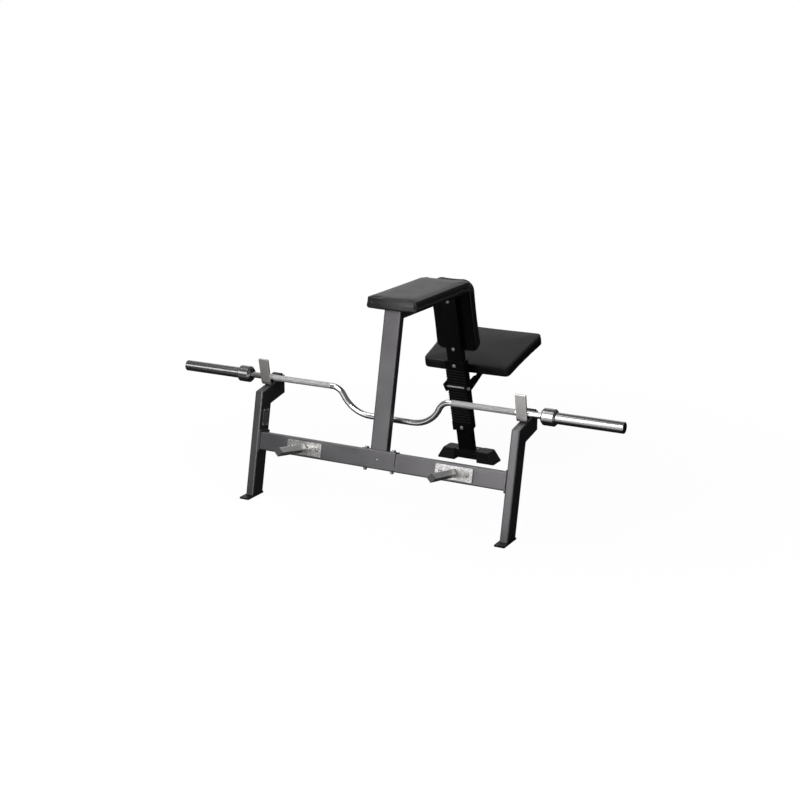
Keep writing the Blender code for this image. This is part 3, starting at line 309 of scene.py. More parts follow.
def turned_normal(tree):
    """The true round normal of a piece turned about the bar's axis, and the plain one on its ends."""
    centre_y, centre_z = bar_centre()
    place = node(tree, "ShaderNodeTexCoord")
    away = node(tree, "ShaderNodeVectorMath", operation="SUBTRACT")
    linked(tree, place.outputs["Object"], away.inputs[0])
    away.inputs[1].default_value = (0, centre_y, centre_z)
    flat = node(tree, "ShaderNodeVectorMath", operation="MULTIPLY")
    linked(tree, away.outputs[0], flat.inputs[0])
    flat.inputs[1].default_value = (0, 1, 1)
    turned = node(tree, "ShaderNodeVectorTransform", vector_type="NORMAL", convert_from="OBJECT",
                  convert_to="WORLD")
    linked(tree, flat.outputs[0], turned.inputs[0])
    sides = node(tree, "ShaderNodeSeparateXYZ")
    geometry = node(tree, "ShaderNodeNewGeometry")
    linked(tree, geometry.outputs["True Normal"], sides.inputs[0])
    at_end = spread(tree, math_node(tree, "ABSOLUTE", sides.outputs["X"], 0.0), 0.0, 1.0, 0.10, 0.20)
    either = node(tree, "ShaderNodeMix", data_type="VECTOR")
    vectors = [socket for socket in either.inputs if socket.type == "VECTOR" and socket.name in ("A", "B")]
    linked(tree, turned.outputs[0], vectors[0])
    linked(tree, geometry.outputs["Normal"], vectors[1])
    linked(tree, at_end, either.inputs["Factor"])
    unit = node(tree, "ShaderNodeVectorMath", operation="NORMALIZE")
    linked(tree, next(s for s in either.outputs if s.type == "VECTOR"), unit.inputs[0])
    return unit.outputs[0]


def sleeve_chrome():
    """Satin chrome with faint turning marks round the sleeve."""
    material, tree, shader = new_material("turned_sleeve_chrome", 1.0, 0.5)
    rings = noise(tree, object_position(tree, (1, 0.01, 0.01)), 160.0, 2.0)
    clouds = noise(tree, object_position(tree), 9.0, 2.0)
    linked(tree, tint(tree, spread(tree, rings, 0.0, 1.0), (0.38, 0.375, 0.38), (0.44, 0.435, 0.44)),
           shader.inputs["Base Color"])
    linked(tree, spread(tree, clouds, 0.25, 0.27), shader.inputs["Roughness"])
    linked(tree, turned_normal(tree), shader.inputs["Normal"])
    return material


def tube_steel():
    """Dull galvanised tube, half metal in its shine, with spangles."""
    material, tree, shader = new_material("galvanised_tube", 0.45, 0.5)
    spangles = node(tree, "ShaderNodeTexVoronoi", Scale=260.0)
    linked(tree, object_position(tree), spangles.inputs["Vector"])
    parts = node(tree, "ShaderNodeSeparateColor")
    linked(tree, spangles.outputs["Color"], parts.inputs[0])
    linked(tree, tint(tree, parts.outputs["Red"], (0.70, 0.69, 0.68), (0.96, 0.95, 0.93)),
           shader.inputs["Base Color"])
    linked(tree, spread(tree, parts.outputs["Green"], 0.30, 0.48, 0.0, 1.0), shader.inputs["Roughness"])
    return material


def zinc_painted_highlight():
    """Zinc painted near white, so that it looks bright from everywhere: a painted highlight for these bolts.
    """
    material, tree, shader = new_material("zinc_painted_highlight", 0.35, 0.6)
    clouds = noise(tree, object_position(tree), 90.0, 3.0)
    linked(tree, tint(tree, spread(tree, clouds, 0.0, 1.0), (0.86, 0.86, 0.87), (0.98, 0.98, 0.98)),
           shader.inputs["Base Color"])
    linked(tree, spread(tree, clouds, 0.26, 0.34), shader.inputs["Roughness"])
    return material


def weld_metal():
    return brushed_metal("bare_weld", (0.10, 0.095, 0.09), (0.42, 0.41, 0.39), 0.32, (1, 1, 1), 0.00010)


def grey_plastic():
    return moulded("grey_plastic", (0.10, 0.10, 0.10), (0.15, 0.15, 0.15), 0.42, 1300.0, 0.00010)


def zinc_plate():
    return brushed_metal("zinc_plate", (0.46, 0.46, 0.47), (0.60, 0.60, 0.61), 0.28, (1, 1, 1), 0.00002)


def bronze():
    return brushed_metal("sintered_bronze", (0.44, 0.29, 0.15), (0.62, 0.43, 0.23), 0.38, (1, 1, 1), 0.00003)


def shaft_chrome():
    """Bright chrome, with a fine diamond knurl on the two grips, whose small facets look paler."""
    material, tree, shader = new_material("knurled_chrome", 1.0, 0.5)
    shader.inputs["Base Color"].default_value = (0.88, 0.87, 0.87, 1)
    place = node(tree, "ShaderNodeTexCoord")
    parts = node(tree, "ShaderNodeSeparateXYZ")
    linked(tree, place.outputs["Object"], parts.inputs[0])
    along = math_node(tree, "ABSOLUTE", parts.outputs["X"], 0.0)
    inner = spread(tree, along, 0.0, 1.0, GRIP_START - GRIP_FADE, GRIP_START + GRIP_FADE)
    outer = spread(tree, along, 1.0, 0.0, GRIP_END - GRIP_FADE, GRIP_END + GRIP_FADE)
    grip = math_node(tree, "MULTIPLY", inner, outer)
    centre_y, centre_z = bar_centre()
    angle = math_node(tree, "ARCTAN2", math_node(tree, "SUBTRACT", parts.outputs["Z"], centre_z),
                      math_node(tree, "SUBTRACT", parts.outputs["Y"], centre_y))
    around = math_node(tree, "MULTIPLY", angle, KNURL_ROWS)
    lengthwise = math_node(tree, "MULTIPLY", parts.outputs["X"], KNURL_ROWS / KNURL_PITCH)
    ridges = math_node(tree, "MULTIPLY",
                       math_node(tree, "SINE", math_node(tree, "ADD", around, lengthwise), 0.0),
                       math_node(tree, "SINE", math_node(tree, "SUBTRACT", around, lengthwise), 0.0))
    knurl = math_node(tree, "MULTIPLY", ridges, grip)
    linked(tree, bump(tree, knurl, 0.00035), shader.inputs["Normal"])
    smudges = noise(tree, object_position(tree), 12.0, 2.0)
    rough = math_node(tree, "ADD", spread(tree, smudges, 0.19, 0.21), math_node(tree, "MULTIPLY", grip, 0.18))
    linked(tree, rough, shader.inputs["Roughness"])
    linked(tree, spread(tree, grip, 1.0, 0.5, 0.0, 1.0), shader.inputs["Metallic"])
    return material


def leatherette():
    """Black leatherette: a pebbled grain of cells with soft creases, and a faint cloudiness in its sheen."""
    material, tree, shader = new_material("black_leatherette", 0.0, 0.7)
    position = object_position(tree)
    cells = node(tree, "ShaderNodeTexVoronoi", feature="SMOOTH_F1", Scale=620.0, Smoothness=0.6)
    linked(tree, position, cells.inputs["Vector"])
    grain = cells.outputs["Distance"]
    fine = noise(tree, position, 1500.0, 2.0)
    clouds = noise(tree, position, 11.0, 4.0)
    height = math_node(tree, "ADD", grain, math_node(tree, "MULTIPLY", fine, 0.35))
    linked(tree, bump(tree, height, 0.00016), shader.inputs["Normal"])
    linked(tree, tint(tree, spread(tree, clouds, 0.0, 1.0), (0.010, 0.010, 0.011), (0.022, 0.022, 0.024)),
           shader.inputs["Base Color"])
    linked(tree, spread(tree, clouds, 0.38, 0.46), shader.inputs["Roughness"])
    return material


def thread():
    material, tree, shader = new_material("black_thread", 0.0, 0.3)
    twist = noise(tree, object_position(tree), 3000.0, 1.0)
    linked(tree, tint(tree, spread(tree, twist, 0.0, 1.0), (0.015, 0.015, 0.016), (0.045, 0.045, 0.048)),
           shader.inputs["Base Color"])
    shader.inputs["Roughness"].default_value = 0.6
    return material


def moulded(name, dark, light, roughness, grain_scale, depth):
    """Moulded rubber or plastic with a fine matt grain."""
    material, tree, shader = new_material(name, 0.0, 0.4)
    position = object_position(tree)
    grain = noise(tree, position, grain_scale, 2.0)
    clouds = noise(tree, position, 15.0, 3.0)
    linked(tree, tint(tree, spread(tree, clouds, 0.0, 1.0), dark, light), shader.inputs["Base Color"])
    linked(tree, spread(tree, clouds, roughness - 0.04, roughness + 0.04), shader.inputs["Roughness"])
    linked(tree, bump(tree, grain, depth), shader.inputs["Normal"])
    return material


def rubber():
    return moulded("moulded_rubber", (0.012, 0.012, 0.012), (0.022, 0.022, 0.022), 0.55, 900.0, 0.00020)


def plastic():
    return moulded("matt_plastic", (0.014, 0.014, 0.015), (0.024, 0.024, 0.026), 0.45, 1300.0, 0.00010)


def stained_board():
    """Plywood under a black stain, with its grain lines just showing."""
    material, tree, shader = new_material("stained_board", 0.0, 0.15)
    lines = noise(tree, object_position(tree, (60, 3, 60)), 4.0, 6.0, 0.65)
    pores = noise(tree, object_position(tree, (40, 2, 40)), 60.0, 2.0)
    mixed = shared(tree, lines, 0.7, pores, 0.3)
    linked(tree, tint(tree, spread(tree, mixed, 0.0, 1.0), (0.008, 0.007, 0.007), (0.020, 0.018, 0.017)),
           shader.inputs["Base Color"])
    shader.inputs["Roughness"].default_value = 0.7
    linked(tree, bump(tree, pores, 0.00015), shader.inputs["Normal"])
    return material


def bar_centre():
    """Y and Z of the bar's axis, from a sleeve that turns about it."""
    low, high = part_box("left_inner_bush")
    return (low.y + high.y) / 2, (low.z + high.z) / 2


def repaint(item, material):
    item.data.materials.clear()
    item.data.materials.append(material)


def paint_nodes(nodes, materials, record):
    """Gives each carried-over node the detailed material of its slot in the record."""
    slots = {part["node"]: part["material_slot"] for part in record["subparts"]}
    for name, item in nodes.items():
        repaint(item, materials[slots[name]])


def mesh_piece(name, bm, material, body, smooth=True):
    """A mesh object that rides on a body."""
    bmesh.ops.recalc_face_normals(bm, faces=bm.faces)
    mesh = bpy.data.meshes.new(name)
    bm.to_mesh(mesh)
    bm.free()
    mesh.materials.append(material)
    if smooth:
        mesh.shade_smooth()
    item = bpy.data.objects.new(name, mesh)
    bpy.context.scene.collection.objects.link(item)
    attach(item, body)
    return item


def sharpen(item, degrees=35):
    """Keeps edges sharper than this angle crisp."""
    item.data.set_sharp_from_angle(angle=math.radians(degrees))
    return item


def facing(direction, place):
    """A frame at a place, whose Z axis points along a direction."""
    turn = Vector(direction).normalized().to_track_quat("Z", "Y").to_matrix().to_4x4()
    return Matrix.Translation(place) @ turn


def loft(bm, rings, matrix, close_ends=True):
    """Skins rings of points that have the same count."""
    made = [[bm.verts.new(matrix @ Vector(point)) for point in ring] for ring in rings]
    count = len(made[0])
    for low, high in zip(made, made[1:]):
        for i in range(count):
            j = (i + 1) % count
            bm.faces.new((low[i], low[j], high[j], high[i]))
    if close_ends:
        bm.faces.new(list(reversed(made[0])))
        bm.faces.new(made[-1])
    return made


def turned_ring(radius, height, count=32):
    steps = [2 * math.pi * i / count for i in range(count)]
    return [(radius * math.cos(a), radius * math.sin(a), height) for a in steps]


def hexagon_ring(width, limit, height, count=48):
    """A hexagon of that width across its flats, cut off by a circle."""
    ring = []
    for i in range(count):
        angle = 2 * math.pi * i / count
        away = abs((angle % (math.pi / 3)) - math.pi / 6)
        radius = min(width / 2 / math.cos(math.pi / 6 - away), limit)
        ring.append((radius * math.cos(angle), radius * math.sin(angle), height))
    return ring


def hex_head(name, place, direction, width, height, material, body):
    """A chamfered hexagon head on a round washer."""
    bm = bmesh.new()
    matrix = facing(direction, place)
    washer = width * 0.62
    loft(bm, [turned_ring(washer - 0.0003, 0.0, 48), turned_ring(washer, 0.0003, 48),
              turned_ring(washer, 0.0013, 48), turned_ring(washer - 0.0003, 0.0016, 48)], matrix)
    corner = width / 2 / math.cos(math.pi / 6)
    chamfer = width / 2 * 0.98
    loft(bm, [hexagon_ring(width, corner, 0.0016), hexagon_ring(width, corner, height * 0.78),
              hexagon_ring(width, (corner + chamfer) / 2, height * 0.93),
              hexagon_ring(width, chamfer, height)], matrix)
    return sharpen(mesh_piece(name, bm, material, body))


def dome_head(name, place, direction, width, height, material, body, socket=0.42):
    """A domed head with a hexagon socket."""
    bm = bmesh.new()
    matrix = facing(direction, place)
    radius = width / 2
    rings = [turned_ring(radius * 0.96, 0.0, 48), turned_ring(radius, height * 0.12, 48)]
    for step in range(1, 6):
        angle = step / 6 * math.pi / 2
        rings.append(turned_ring(radius * math.cos(angle), height * (0.12 + 0.88 * math.sin(angle)), 48))
    across = width * socket
    rings.append(hexagon_ring(across, across, height))
    rings.append(hexagon_ring(across, across, height * 0.35))
    loft(bm, rings, matrix)
    return sharpen(mesh_piece(name, bm, material, body), 40)


def on_front(x, up, out):
    """A point by its place on the front frame's plane and its distance out of it."""
    base = Vector((0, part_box("left_foot_plate")[1].y - FOOT_PLATE_REACH, 0))
    return base + WORLD_X * x + FRAME_UP * up + FRAME_FRONT * out


def applied(item):
    """Replaces the object's mesh with what its modifiers make of it."""
    made = bpy.data.meshes.new_from_object(item.evaluated_get(bpy.context.evaluated_depsgraph_get()))
    item.modifiers.clear()
    item.data = made


def inflate(item):
    """Fills the cover by pressure, its underside held, and stops each point at the limit."""
    held = item.vertex_groups.new(name="underside")
    held.add([v.index for v in item.data.vertices if v.co.z < UNDERSIDE], 1.0, "REPLACE")
    start = [v.co.copy() for v in item.data.vertices]
    cloth = item.modifiers.new("filling", "CLOTH")
    cloth.settings.vertex_group_mass = held.name
    cloth.settings.use_pressure = True
    cloth.settings.uniform_pressure_force = PRESSURE
    cloth.settings.effector_weights.gravity = 0.0
    cloth.point_cache.frame_start = 1
    cloth.point_cache.frame_end = SWELL_FRAMES
    for number in range(1, SWELL_FRAMES + 1):
        bpy.context.scene.frame_set(number)
    applied(item)
    bpy.context.scene.frame_set(1)
    for vertex, before in zip(item.data.vertices, start):
        moved = vertex.co - before
        if moved.length > SWELL_LIMIT:
            vertex.co = before + moved.normalized() * SWELL_LIMIT


def sew(mesh, half, floor, seam):
    """Draws the cover in along the seam under its top edge and down each corner of the side band."""
    normals = [vertex.normal.copy() for vertex in mesh.vertices]
    for vertex, normal in zip(mesh.vertices, normals):
        side = 1 - min(abs(normal.z) * 1.2, 1)
        round_seam = SEAM_DEPTH * math.exp(-(((vertex.co.z - seam) / SEAM_WIDTH) ** 2))
        folded = Vector((abs(vertex.co.x) - half.x, abs(vertex.co.y) - half.y, 0))
        aslant = folded.x * math.sqrt(0.5) - folded.y * math.sqrt(0.5)
        near_corner = folded.length < CORNER_REACH and floor < vertex.co.z < seam
        down_corner = CORNER_SEAM_DEPTH * math.exp(-((aslant / SEAM_WIDTH) ** 2)) if near_corner else 0.0
        vertex.co -= normal * max(round_seam * side, down_corner)


def surface_tree(item):
    return BVHTree.FromPolygons([v.co for v in item.data.vertices], [p.vertices for p in item.data.polygons])


def rim_height(mesh):
    """The middle height of the rounded edge where a cover's side turns over into its top."""
    heights = sorted(v.co.z for v in mesh.vertices if 0.4 < v.normal.z < 0.8 and v.co.z > UNDERSIDE)
    return heights[len(heights) // 2]


def outline_at(tree, height, count=720):
    """Points round a cover at one height, found from outside."""
    points = []
    for i in range(count):
        angle = 2 * math.pi * i / count
        away = Vector((math.cos(angle), math.sin(angle), 0))
        place, normal, _, _ = tree.ray_cast(away + Vector((0, 0, height)), -away)
        points.append((place, normal))
    return points


def even_steps(points, pitch):
    """Places at an even pitch along a closed line of (place, normal)."""
    steps = []
    travelled = 0.0
    for (here, normal), (after, _) in zip(points, points[1:] + points[:1]):
        length = (after - here).length
        while travelled < length:
            steps.append((here.lerp(after, travelled / length), normal, (after - here).normalized()))
            travelled += pitch
        travelled -= length
    return steps


def round_ring(centre, first, second, radius, count):
    """Points round a centre, in the plane of two unit vectors."""
    steps = [2 * math.pi * k / count for k in range(count)]
    return [centre + (first * math.cos(a) + second * math.sin(a)) * radius for a in steps]


def add_welt(bm, points):
    """A thin welt round a cover, from (place, normal) points in order."""
    rings = []
    neighbours = zip(points[-1:] + points[:-1], points[1:] + points[:1])
    for (place, normal), ((before, _), (after, _)) in zip(points, neighbours):
        across = normal.cross(after - before).normalized()
        rings.append(round_ring(place + normal * WELT_LIFT, normal, across, WELT_RADIUS, 8))
    loft(bm, rings + rings[:1], Matrix.Identity(4), close_ends=False)
    bmesh.ops.remove_doubles(bm, verts=bm.verts, dist=0.00001)


def add_stitch(bm, place, normal, along):
    """One short thread that dives into the cover at both ends."""
    across = normal.cross(along).normalized()
    rings = []
    for t, lift, width in STITCH_SHAPE:
        centre = place + along * t * STITCH_LENGTH + normal * lift * STITCH_RADIUS
        rings.append(round_ring(centre, normal, across, STITCH_RADIUS * width, 6))
    loft(bm, rings, Matrix.Identity(4))


def make_cushion(nodes, name, body, axes, leather, twine):
    """An upholstered pad in place of its plain solid: filled, sewn and stitched."""
    mesh = nodes[name].data.copy()
    mesh.transform(axes.inverted())
    corners = [[pick(v.co[i] for v in mesh.vertices) for i in range(3)] for pick in (min, max)]
    low, high = Vector(corners[0]), Vector(corners[1])
    middle = Matrix.Translation(((low.x + high.x) / 2, (low.y + high.y) / 2, low.z))
    mesh.transform(middle.inverted())
    half = Vector(((high.x - low.x) / 2, (high.y - low.y) / 2, 0))
    cover = bpy.data.objects.new(name + "_cover", mesh)
    bpy.context.scene.collection.objects.link(cover)
    remesh = cover.modifiers.new("even_mesh", "REMESH")
    remesh.mode = "VOXEL"
    remesh.voxel_size = VOXEL
    applied(cover)
    for vertex in cover.data.vertices:
        if vertex.co.z > UNDERSIDE:
            vertex.co -= vertex.normal * START_INSET
    inflate(cover)
    finer = cover.modifiers.new("finer", "SUBSURF")
    finer.levels = 1
    finer.render_levels = 1
    applied(cover)
    rim = rim_height(cover.data)
    seam = high.z - low.z - SEAM_DROP
    sew(cover.data, half, UNDERSIDE / 2, seam)
    tree = surface_tree(cover)
    bm = bmesh.new()
    for place, normal, along in even_steps(outline_at(tree, seam - STITCH_DROP), STITCH_PITCH):
        add_stitch(bm, place, normal, along)
    bmesh.ops.transform(bm, matrix=axes @ middle, verts=bm.verts)
    mesh_piece(name + "_stitches", bm, twine, body)
    bm = bmesh.new()
    add_welt(bm, outline_at(tree, rim - WELT_DROP))
    bmesh.ops.transform(bm, matrix=axes @ middle, verts=bm.verts)
    mesh_piece(name + "_welt", bm, leather, body)
    cover.data.transform(axes @ middle)
    repaint(cover, leather)
    cover.data.shade_smooth()
    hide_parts(name)
    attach(cover, body)


def pad_axes(along, up):
    """A turn whose X is the bench's own, with Y along the pad and Z out of its top."""
    return Matrix((WORLD_X, along, up)).transposed().to_4x4()


def make_cushions(nodes, leather, twine):
    for name, body, along, up in (("chest_pad_cushion", "frame", WORLD_Y, WORLD_UP),
                                  ("hip_pad_cushion", "frame", -POST_UP, POST_BACK),
                                  ("seat_cushion", "seat_carriage", POST_BACK, POST_UP)):
        make_cushion(nodes, name, body, pad_axes(along, up), leather, twine)


def beam_hardware(zinc, steel):
    """The bolts of the wear plates and of the beam's ends, and the screw in the saddle's flap."""
    for side, sign in (("left", -1), ("right", 1)):
        for place, reach in (("outer", PLATE_BOLT_REACH), ("inner", -PLATE_BOLT_REACH)):
            spot = on_front(sign * (PLATE_X + reach), BEAM_MIDDLE, PLATE_FACE)
            dome_head(f"{side}_{place}_wear_plate_bolt", spot, FRAME_FRONT, 0.0175, 0.0050, zinc, "frame",
                      socket=0.50)
        for place, shift in (("upper", END_BOLT_SPREAD), ("lower", -END_BOLT_SPREAD)):
            spot = on_front(sign * (END_PLATE_X - 0.0001), BEAM_MIDDLE + shift, END_BOLT_DEPTH)
            hex_head(f"{side}_{place}_beam_end_bolt", spot, -sign * WORLD_X, 0.017, 0.0075, zinc, "frame")
    spot = on_front(0, SCREW_HEIGHT, SADDLE_FACE)
    dome_head("saddle_screw", spot, FRAME_FRONT, 0.009, 0.0028, steel, "frame")


def base_plate_hardware(zinc):
    """The two bolts that hold the rear foot's base plate to the foot bar."""
    low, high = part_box("foot_base_plate")
    for side, sign in (("left", -1), ("right", 1)):
        spot = Vector((sign * BASE_BOLT_X, (low.y + high.y) / 2, high.z))
        dome_head(f"{side}_base_plate_bolt", spot, WORLD_UP, 0.013, 0.0038, zinc, "frame")


def longest_loop(edges):
    """The longest closed line among the cut edges of a mesh, as points in order."""
    around = {}
    for edge in edges:
        for here, there in (edge.verts, reversed(edge.verts)):
            around.setdefault(here, []).append(there)
    best = []
    while around:
        here = next(iter(around))
        line = []
        while here in around:
            line.append(here.co.copy())
            after = [other for other in around.pop(here) if other in around]
            if not after:
                break
            here = after[0]
        if loop_length(line) > loop_length(best):
            best = line
    return best


def loop_length(points):
    return sum((after - here).length for here, after in zip(points, points[1:] + points[:1]))


def weld(nodes, name, onto, normal, material, body):
    """A rippled bead laid round a node where it stands on another, whose face has that normal."""
    place = normal * (max(vertex.co.dot(normal) for vertex in nodes[onto].data.vertices) + WELD_LIFT)
    bm = bmesh.new()
    bm.from_mesh(nodes[name].data)
    everything = bm.verts[:] + bm.edges[:] + bm.faces[:]
    cut = bmesh.ops.bisect_plane(bm, geom=everything, plane_co=place, plane_no=normal)
    loop = longest_loop([piece for piece in cut["geom_cut"] if isinstance(piece, bmesh.types.BMEdge)])
    bm.free()
    middle = sum(loop, Vector()) / len(loop)
    bead = bmesh.new()
    rings = []
    for step, (spot, _, along) in enumerate(even_steps([(point, normal) for point in loop], BEAD_STEP)):
        outward = along.cross(normal).normalized()
        if outward.dot(spot - middle) < 0:
            outward = -outward
        ripple = abs(math.sin(math.pi * step * BEAD_STEP / RIPPLE_PITCH))
        rings.append(round_ring(spot, outward, normal, BEAD_RADIUS * (0.84 + 0.16 * ripple), 8))
    loft(bead, rings + rings[:1], Matrix.Identity(4), close_ends=False)
    bmesh.ops.remove_doubles(bead, verts=bead.verts, dist=0.00001)
    mesh_piece(f"{name}_weld", bead, material, body)


def weld_joints(nodes, grey, black, bare):
    """The beads where the tubes and plates are joined."""
    for side in ("left", "right"):
        weld(nodes, f"{side}_upright", f"{side}_foot_plate", WORLD_UP, grey, "frame")
        weld(nodes, f"{side}_peg", f"{side}_wear_plate", FRAME_FRONT, bare, "frame")
        weld(nodes, f"{side}_cheek", "seat_plate", -POST_UP, black, "seat_carriage")
    weld(nodes, "front_post", "front_post_saddle", FRAME_UP, grey, "frame")
    weld(nodes, "rear_post", "foot_base_plate", WORLD_UP, black, "frame")


def rounded_rectangle(width, length, radius, height):
    ring = []
    for x, y, start in ((1, 1, 0), (-1, 1, 90), (-1, -1, 180), (1, -1, 270)):
        for step in range(5):
            angle = math.radians(start + step * 22.5)
            ring.append((x * (width / 2 - radius) + radius * math.cos(angle),
                         y * (length / 2 - radius) + radius * math.sin(angle), height))
    return ring


def tag_metal():
    return moulded("dull_aluminium", (0.26, 0.26, 0.265), (0.36, 0.36, 0.37), 0.42, 1500.0, 0.00005)


def riveted_tag(metal, rivet_metal):
    """The bare plate on the inner face of the left upright, with a rivet in each corner."""
    place = on_front(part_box("left_upright")[1].x, TAG_HEIGHT, TAG_DEPTH)
    axes = Matrix((FRAME_FRONT, FRAME_UP, WORLD_X)).transposed().to_4x4()
    matrix = Matrix.Translation(place) @ axes
    bm = bmesh.new()
    chamfer = 0.0002
    loft(bm, [rounded_rectangle(TAG_WIDTH, TAG_LENGTH, TAG_CORNER, -TAG_SUNK),
              rounded_rectangle(TAG_WIDTH, TAG_LENGTH, TAG_CORNER, TAG_THICK - chamfer),
              rounded_rectangle(TAG_WIDTH - 2 * chamfer, TAG_LENGTH - 2 * chamfer, TAG_CORNER - chamfer,
                                TAG_THICK)], matrix)
    sharpen(mesh_piece("upright_tag", bm, metal, "frame"))
    for number, (across, up) in enumerate(((-1, -1), (-1, 1), (1, -1), (1, 1)), 1):
        corner = Vector((across * (TAG_WIDTH / 2 - RIVET_INSET), up * (TAG_LENGTH / 2 - RIVET_INSET),
                         TAG_THICK))
        bm = bmesh.new()
        angles = [math.radians(a) for a in (0, 20, 40, 60, 80)]
        rings = [turned_ring(RIVET_RADIUS * math.cos(a), RIVET_HEIGHT * math.sin(a), 20) for a in angles]
        loft(bm, rings, matrix @ Matrix.Translation(corner))
        mesh_piece(f"tag_rivet_{number}", bm, rivet_metal, "frame")


def look_camera():
    """The camera that the photograph was solved to."""
    azimuth, pitch, roll = (math.radians(angle) for angle in (AZIMUTH, PITCH, ROLL))
    right = Vector((math.cos(azimuth), math.sin(azimuth), 0))
    forward = Vector((-math.sin(azimuth) * math.cos(pitch), math.cos(azimuth) * math.cos(pitch),
                      -math.sin(pitch)))
    up = right.cross(forward)
    rolled_right = math.cos(roll) * right + math.sin(roll) * up
    rolled_up = math.cos(roll) * up - math.sin(roll) * right
    data = bpy.data.cameras.new("camera")
    data.sensor_width = SENSOR
    data.lens = FOCAL_LENGTH
    data.clip_end = VIEW_END
    item = bpy.data.objects.new("camera", data)
    bpy.context.scene.collection.objects.link(item)
    axes = Matrix((rolled_right, rolled_up, -forward)).transposed().to_4x4()
    item.matrix_world = Matrix.Translation(EYE) @ axes
    bpy.context.scene.camera = item


def area_lamp(name, place, target, size, level):
    """A square soft lamp that lights what faces it to a level, where 1 shows a colour as it is."""
    place = Vector(place)
    reach = Vector(target) - place
    data = bpy.data.lights.new(name, "AREA")
    data.shape = "SQUARE"
    data.size = size
    data.energy = level * math.pi ** 2 * reach.length_squared
    item = bpy.data.objects.new(name, data)
    bpy.context.scene.collection.objects.link(item)
    item.matrix_world = Matrix.Translation(place) @ reach.to_track_quat("-Z", "Y").to_matrix().to_4x4()
    return item


def strip_lamp(name, place, length, height, level):
    """A level strip lamp that faces the bench."""
    item = area_lamp(name, place, (place[0], 0, place[2]), length, level)
    item.data.shape = "RECTANGLE"
    item.data.size_y = height
    return item


def screen_lamp(lamp, pieces):
    """Screens a lamp off from everything but these pieces."""
    lit = bpy.data.collections.new(lamp.name + " lit")
    for piece in pieces:
        lit.objects.link(piece)
    lamp.light_linking.receiver_collection = lit


def seen_ray(tree, in_gloss):
    """1 for rays that show the background: from the camera, through glass, and off gloss as far as given."""
    path = node(tree, "ShaderNodeLightPath")
    gloss = math_node(tree, "MULTIPLY", path.outputs["Is Glossy Ray"], in_gloss)
    first = math_node(tree, "MAXIMUM", path.outputs["Is Camera Ray"], gloss)
    return math_node(tree, "MAXIMUM", first, path.outputs["Is Transmission Ray"])


def make_world(ambient, room):
    """White where it is seen, darker in gloss towards the camera's side, and a dim even light otherwise."""
    world = bpy.data.worlds.new("studio")
    world.use_nodes = True
    tree = world.node_tree
    background = next(n for n in tree.nodes if n.type == "BACKGROUND")
    background.inputs["Color"].default_value = (1, 1, 1, 1)
    place = node(tree, "ShaderNodeTexCoord")
    parts = node(tree, "ShaderNodeSeparateXYZ")
    linked(tree, place.outputs["Generated"], parts.inputs[0])
    rearward = math_node(tree, "SUBTRACT", parts.outputs["Y"], parts.outputs["Z"])
    back = spread(tree, rearward, 0.0, 1.0, -0.4, 0.4)
    left = spread(tree, parts.outputs["X"], 1.0, 0.0, -0.25, 0.15)
    lit = math_node(tree, "MULTIPLY", math_node(tree, "MULTIPLY", back, left), 0.8)
    backdrop = math_node(tree, "MAXIMUM", lit, room)
    linked(tree, tint_value(tree, seen_ray(tree, backdrop), ambient, 1.0), background.inputs["Strength"])
    bpy.context.scene.world = world


def make_floor(near_glow, own):
    """A pale floor that keeps a soft shadow. Gloss sees it white in front of the bench and dark elsewhere."""
    bm = bmesh.new()
    bmesh.ops.create_circle(bm, cap_ends=True, segments=96, radius=FLOOR_RADIUS)
    mesh = bpy.data.meshes.new("floor")
    bm.to_mesh(mesh)
    bm.free()
    item = bpy.data.objects.new("floor", mesh)
    bpy.context.scene.collection.objects.link(item)
    material = bpy.data.materials.new("pale_floor")
    material.use_nodes = True
    tree = material.node_tree
    tree.nodes.clear()
    output = node(tree, "ShaderNodeOutputMaterial")
    matt = node(tree, "ShaderNodeBsdfDiffuse", Color=(own, own, own, 1))
    light = node(tree, "ShaderNodeEmission", Color=(1, 1, 1, 1))
    place = node(tree, "ShaderNodeTexCoord")
    parts = node(tree, "ShaderNodeSeparateXYZ")
    linked(tree, place.outputs["Object"], parts.inputs[0])
    right = spread(tree, parts.outputs["X"], 0.0, 1.0, GLOSS_LEFT, GLOSS_FULL)
    ahead = spread(tree, parts.outputs["Y"], 1.0, 0.0, GLOSS_FRONT, GLOSS_END)
    white = math_node(tree, "MULTIPLY", right, ahead)
    reach = node(tree, "ShaderNodeVectorMath", operation="LENGTH")
    linked(tree, place.outputs["Object"], reach.inputs[0])
    glow = spread(tree, reach.outputs["Value"], near_glow, 1.0, 1.0, 3.0)
    linked(tree, math_node(tree, "MULTIPLY", seen_ray(tree, white), glow), light.inputs["Strength"])
    both = node(tree, "ShaderNodeAddShader")
    linked(tree, matt.outputs[0], both.inputs[0])
    linked(tree, light.outputs[0], both.inputs[1])
    linked(tree, both.outputs[0], output.inputs["Surface"])
    mesh.materials.append(material)


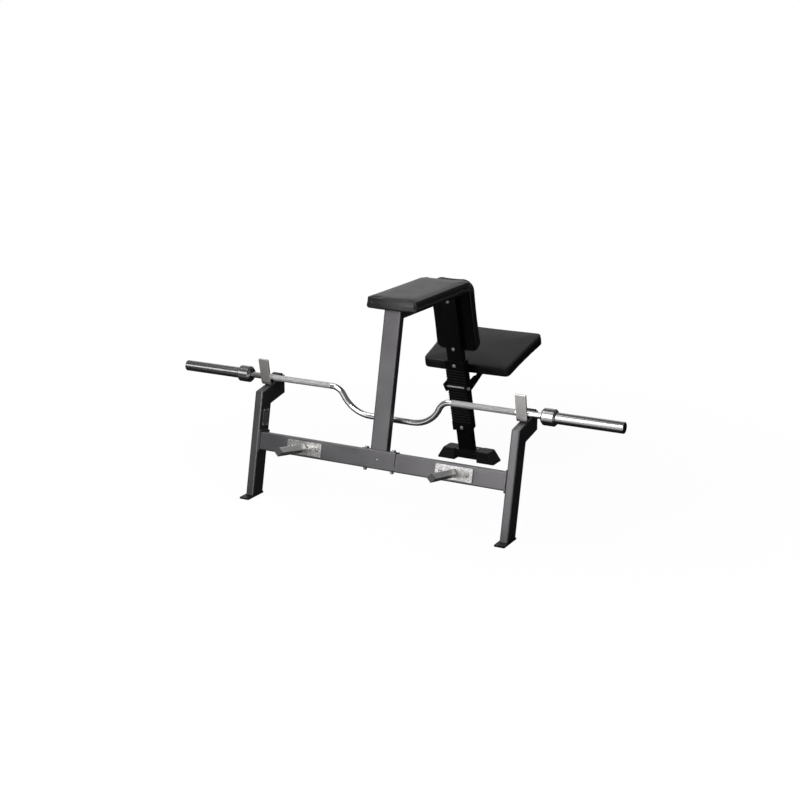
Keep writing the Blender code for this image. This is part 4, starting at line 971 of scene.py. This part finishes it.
def light_scene():
    make_world(ambient=0.05, room=0.08)
    make_floor(near_glow=0.966, own=0.06)
    area_lamp("front", place=(-0.7, -3.7, 1.05), target=(0, -0.45, 0.6), size=1.0, level=0.14)
    area_lamp("key", place=(0.0, -3.4, 2.9), target=(0, -0.2, 0.5), size=1.6, level=0.33)
    box = strip_lamp("sleeve box", place=(-2.3, -3.4, 1.8), length=4.6, height=1.2, level=0.36)
    screen_lamp(box, [frame["nodes"][name] for name in ("left_sleeve", "right_sleeve")])
    area_lamp("top", place=(-1.2, -0.9, 3.3), target=(0, 0, 0.8), size=1.5, level=0.28)


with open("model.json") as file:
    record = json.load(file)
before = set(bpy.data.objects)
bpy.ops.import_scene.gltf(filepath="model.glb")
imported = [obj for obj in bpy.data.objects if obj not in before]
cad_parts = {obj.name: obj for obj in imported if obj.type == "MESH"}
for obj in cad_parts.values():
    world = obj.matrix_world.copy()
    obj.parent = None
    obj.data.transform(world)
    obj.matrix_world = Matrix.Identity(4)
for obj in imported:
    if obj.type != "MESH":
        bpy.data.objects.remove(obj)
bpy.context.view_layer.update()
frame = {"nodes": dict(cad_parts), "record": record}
look_camera()
light_scene()
zinc = zinc_plate()
steel = plate_steel()
leather = leatherette()
materials = {
    "frame_grey": grey_paint(),
    "frame_black": black_paint(),
    "brushed_steel": hook_steel(),
    "polished_steel": steel,
    "chrome": sleeve_chrome(),
    "zinc": zinc,
    "upholstery": leather,
    "stained_board": stained_board(),
    "rubber": rubber(),
    "plastic": plastic(),
    "bronze": bronze(),
}
paint_nodes(frame["nodes"], materials, frame["record"])
repaint(frame["nodes"]["bar_shaft"], shaft_chrome())
beam_hardware(zinc, steel)
base_plate_hardware(zinc)
tube = tube_steel()
plate = spangled_steel()
plug = grey_plastic()
bright = zinc_painted_highlight()
# painted highlight: these fasteners get the near-white zinc
for name in BRIGHT_NODES:
    repaint(frame["nodes"][name], bright)
repaint(frame["nodes"]["lock_rod"], tube)
for side in ("left", "right"):
    repaint(frame["nodes"][f"{side}_peg_plug"], plug)
    repaint(frame["nodes"][f"{side}_peg"], tube)
    repaint(frame["nodes"][f"{side}_wear_plate"], plate)
riveted_tag(tag_metal(), tube)
weld_joints(frame["nodes"], materials["frame_grey"], materials["frame_black"], weld_metal())
make_cushions(frame["nodes"], leather, thread())

bpy.context.scene.view_settings.view_transform = "Standard"
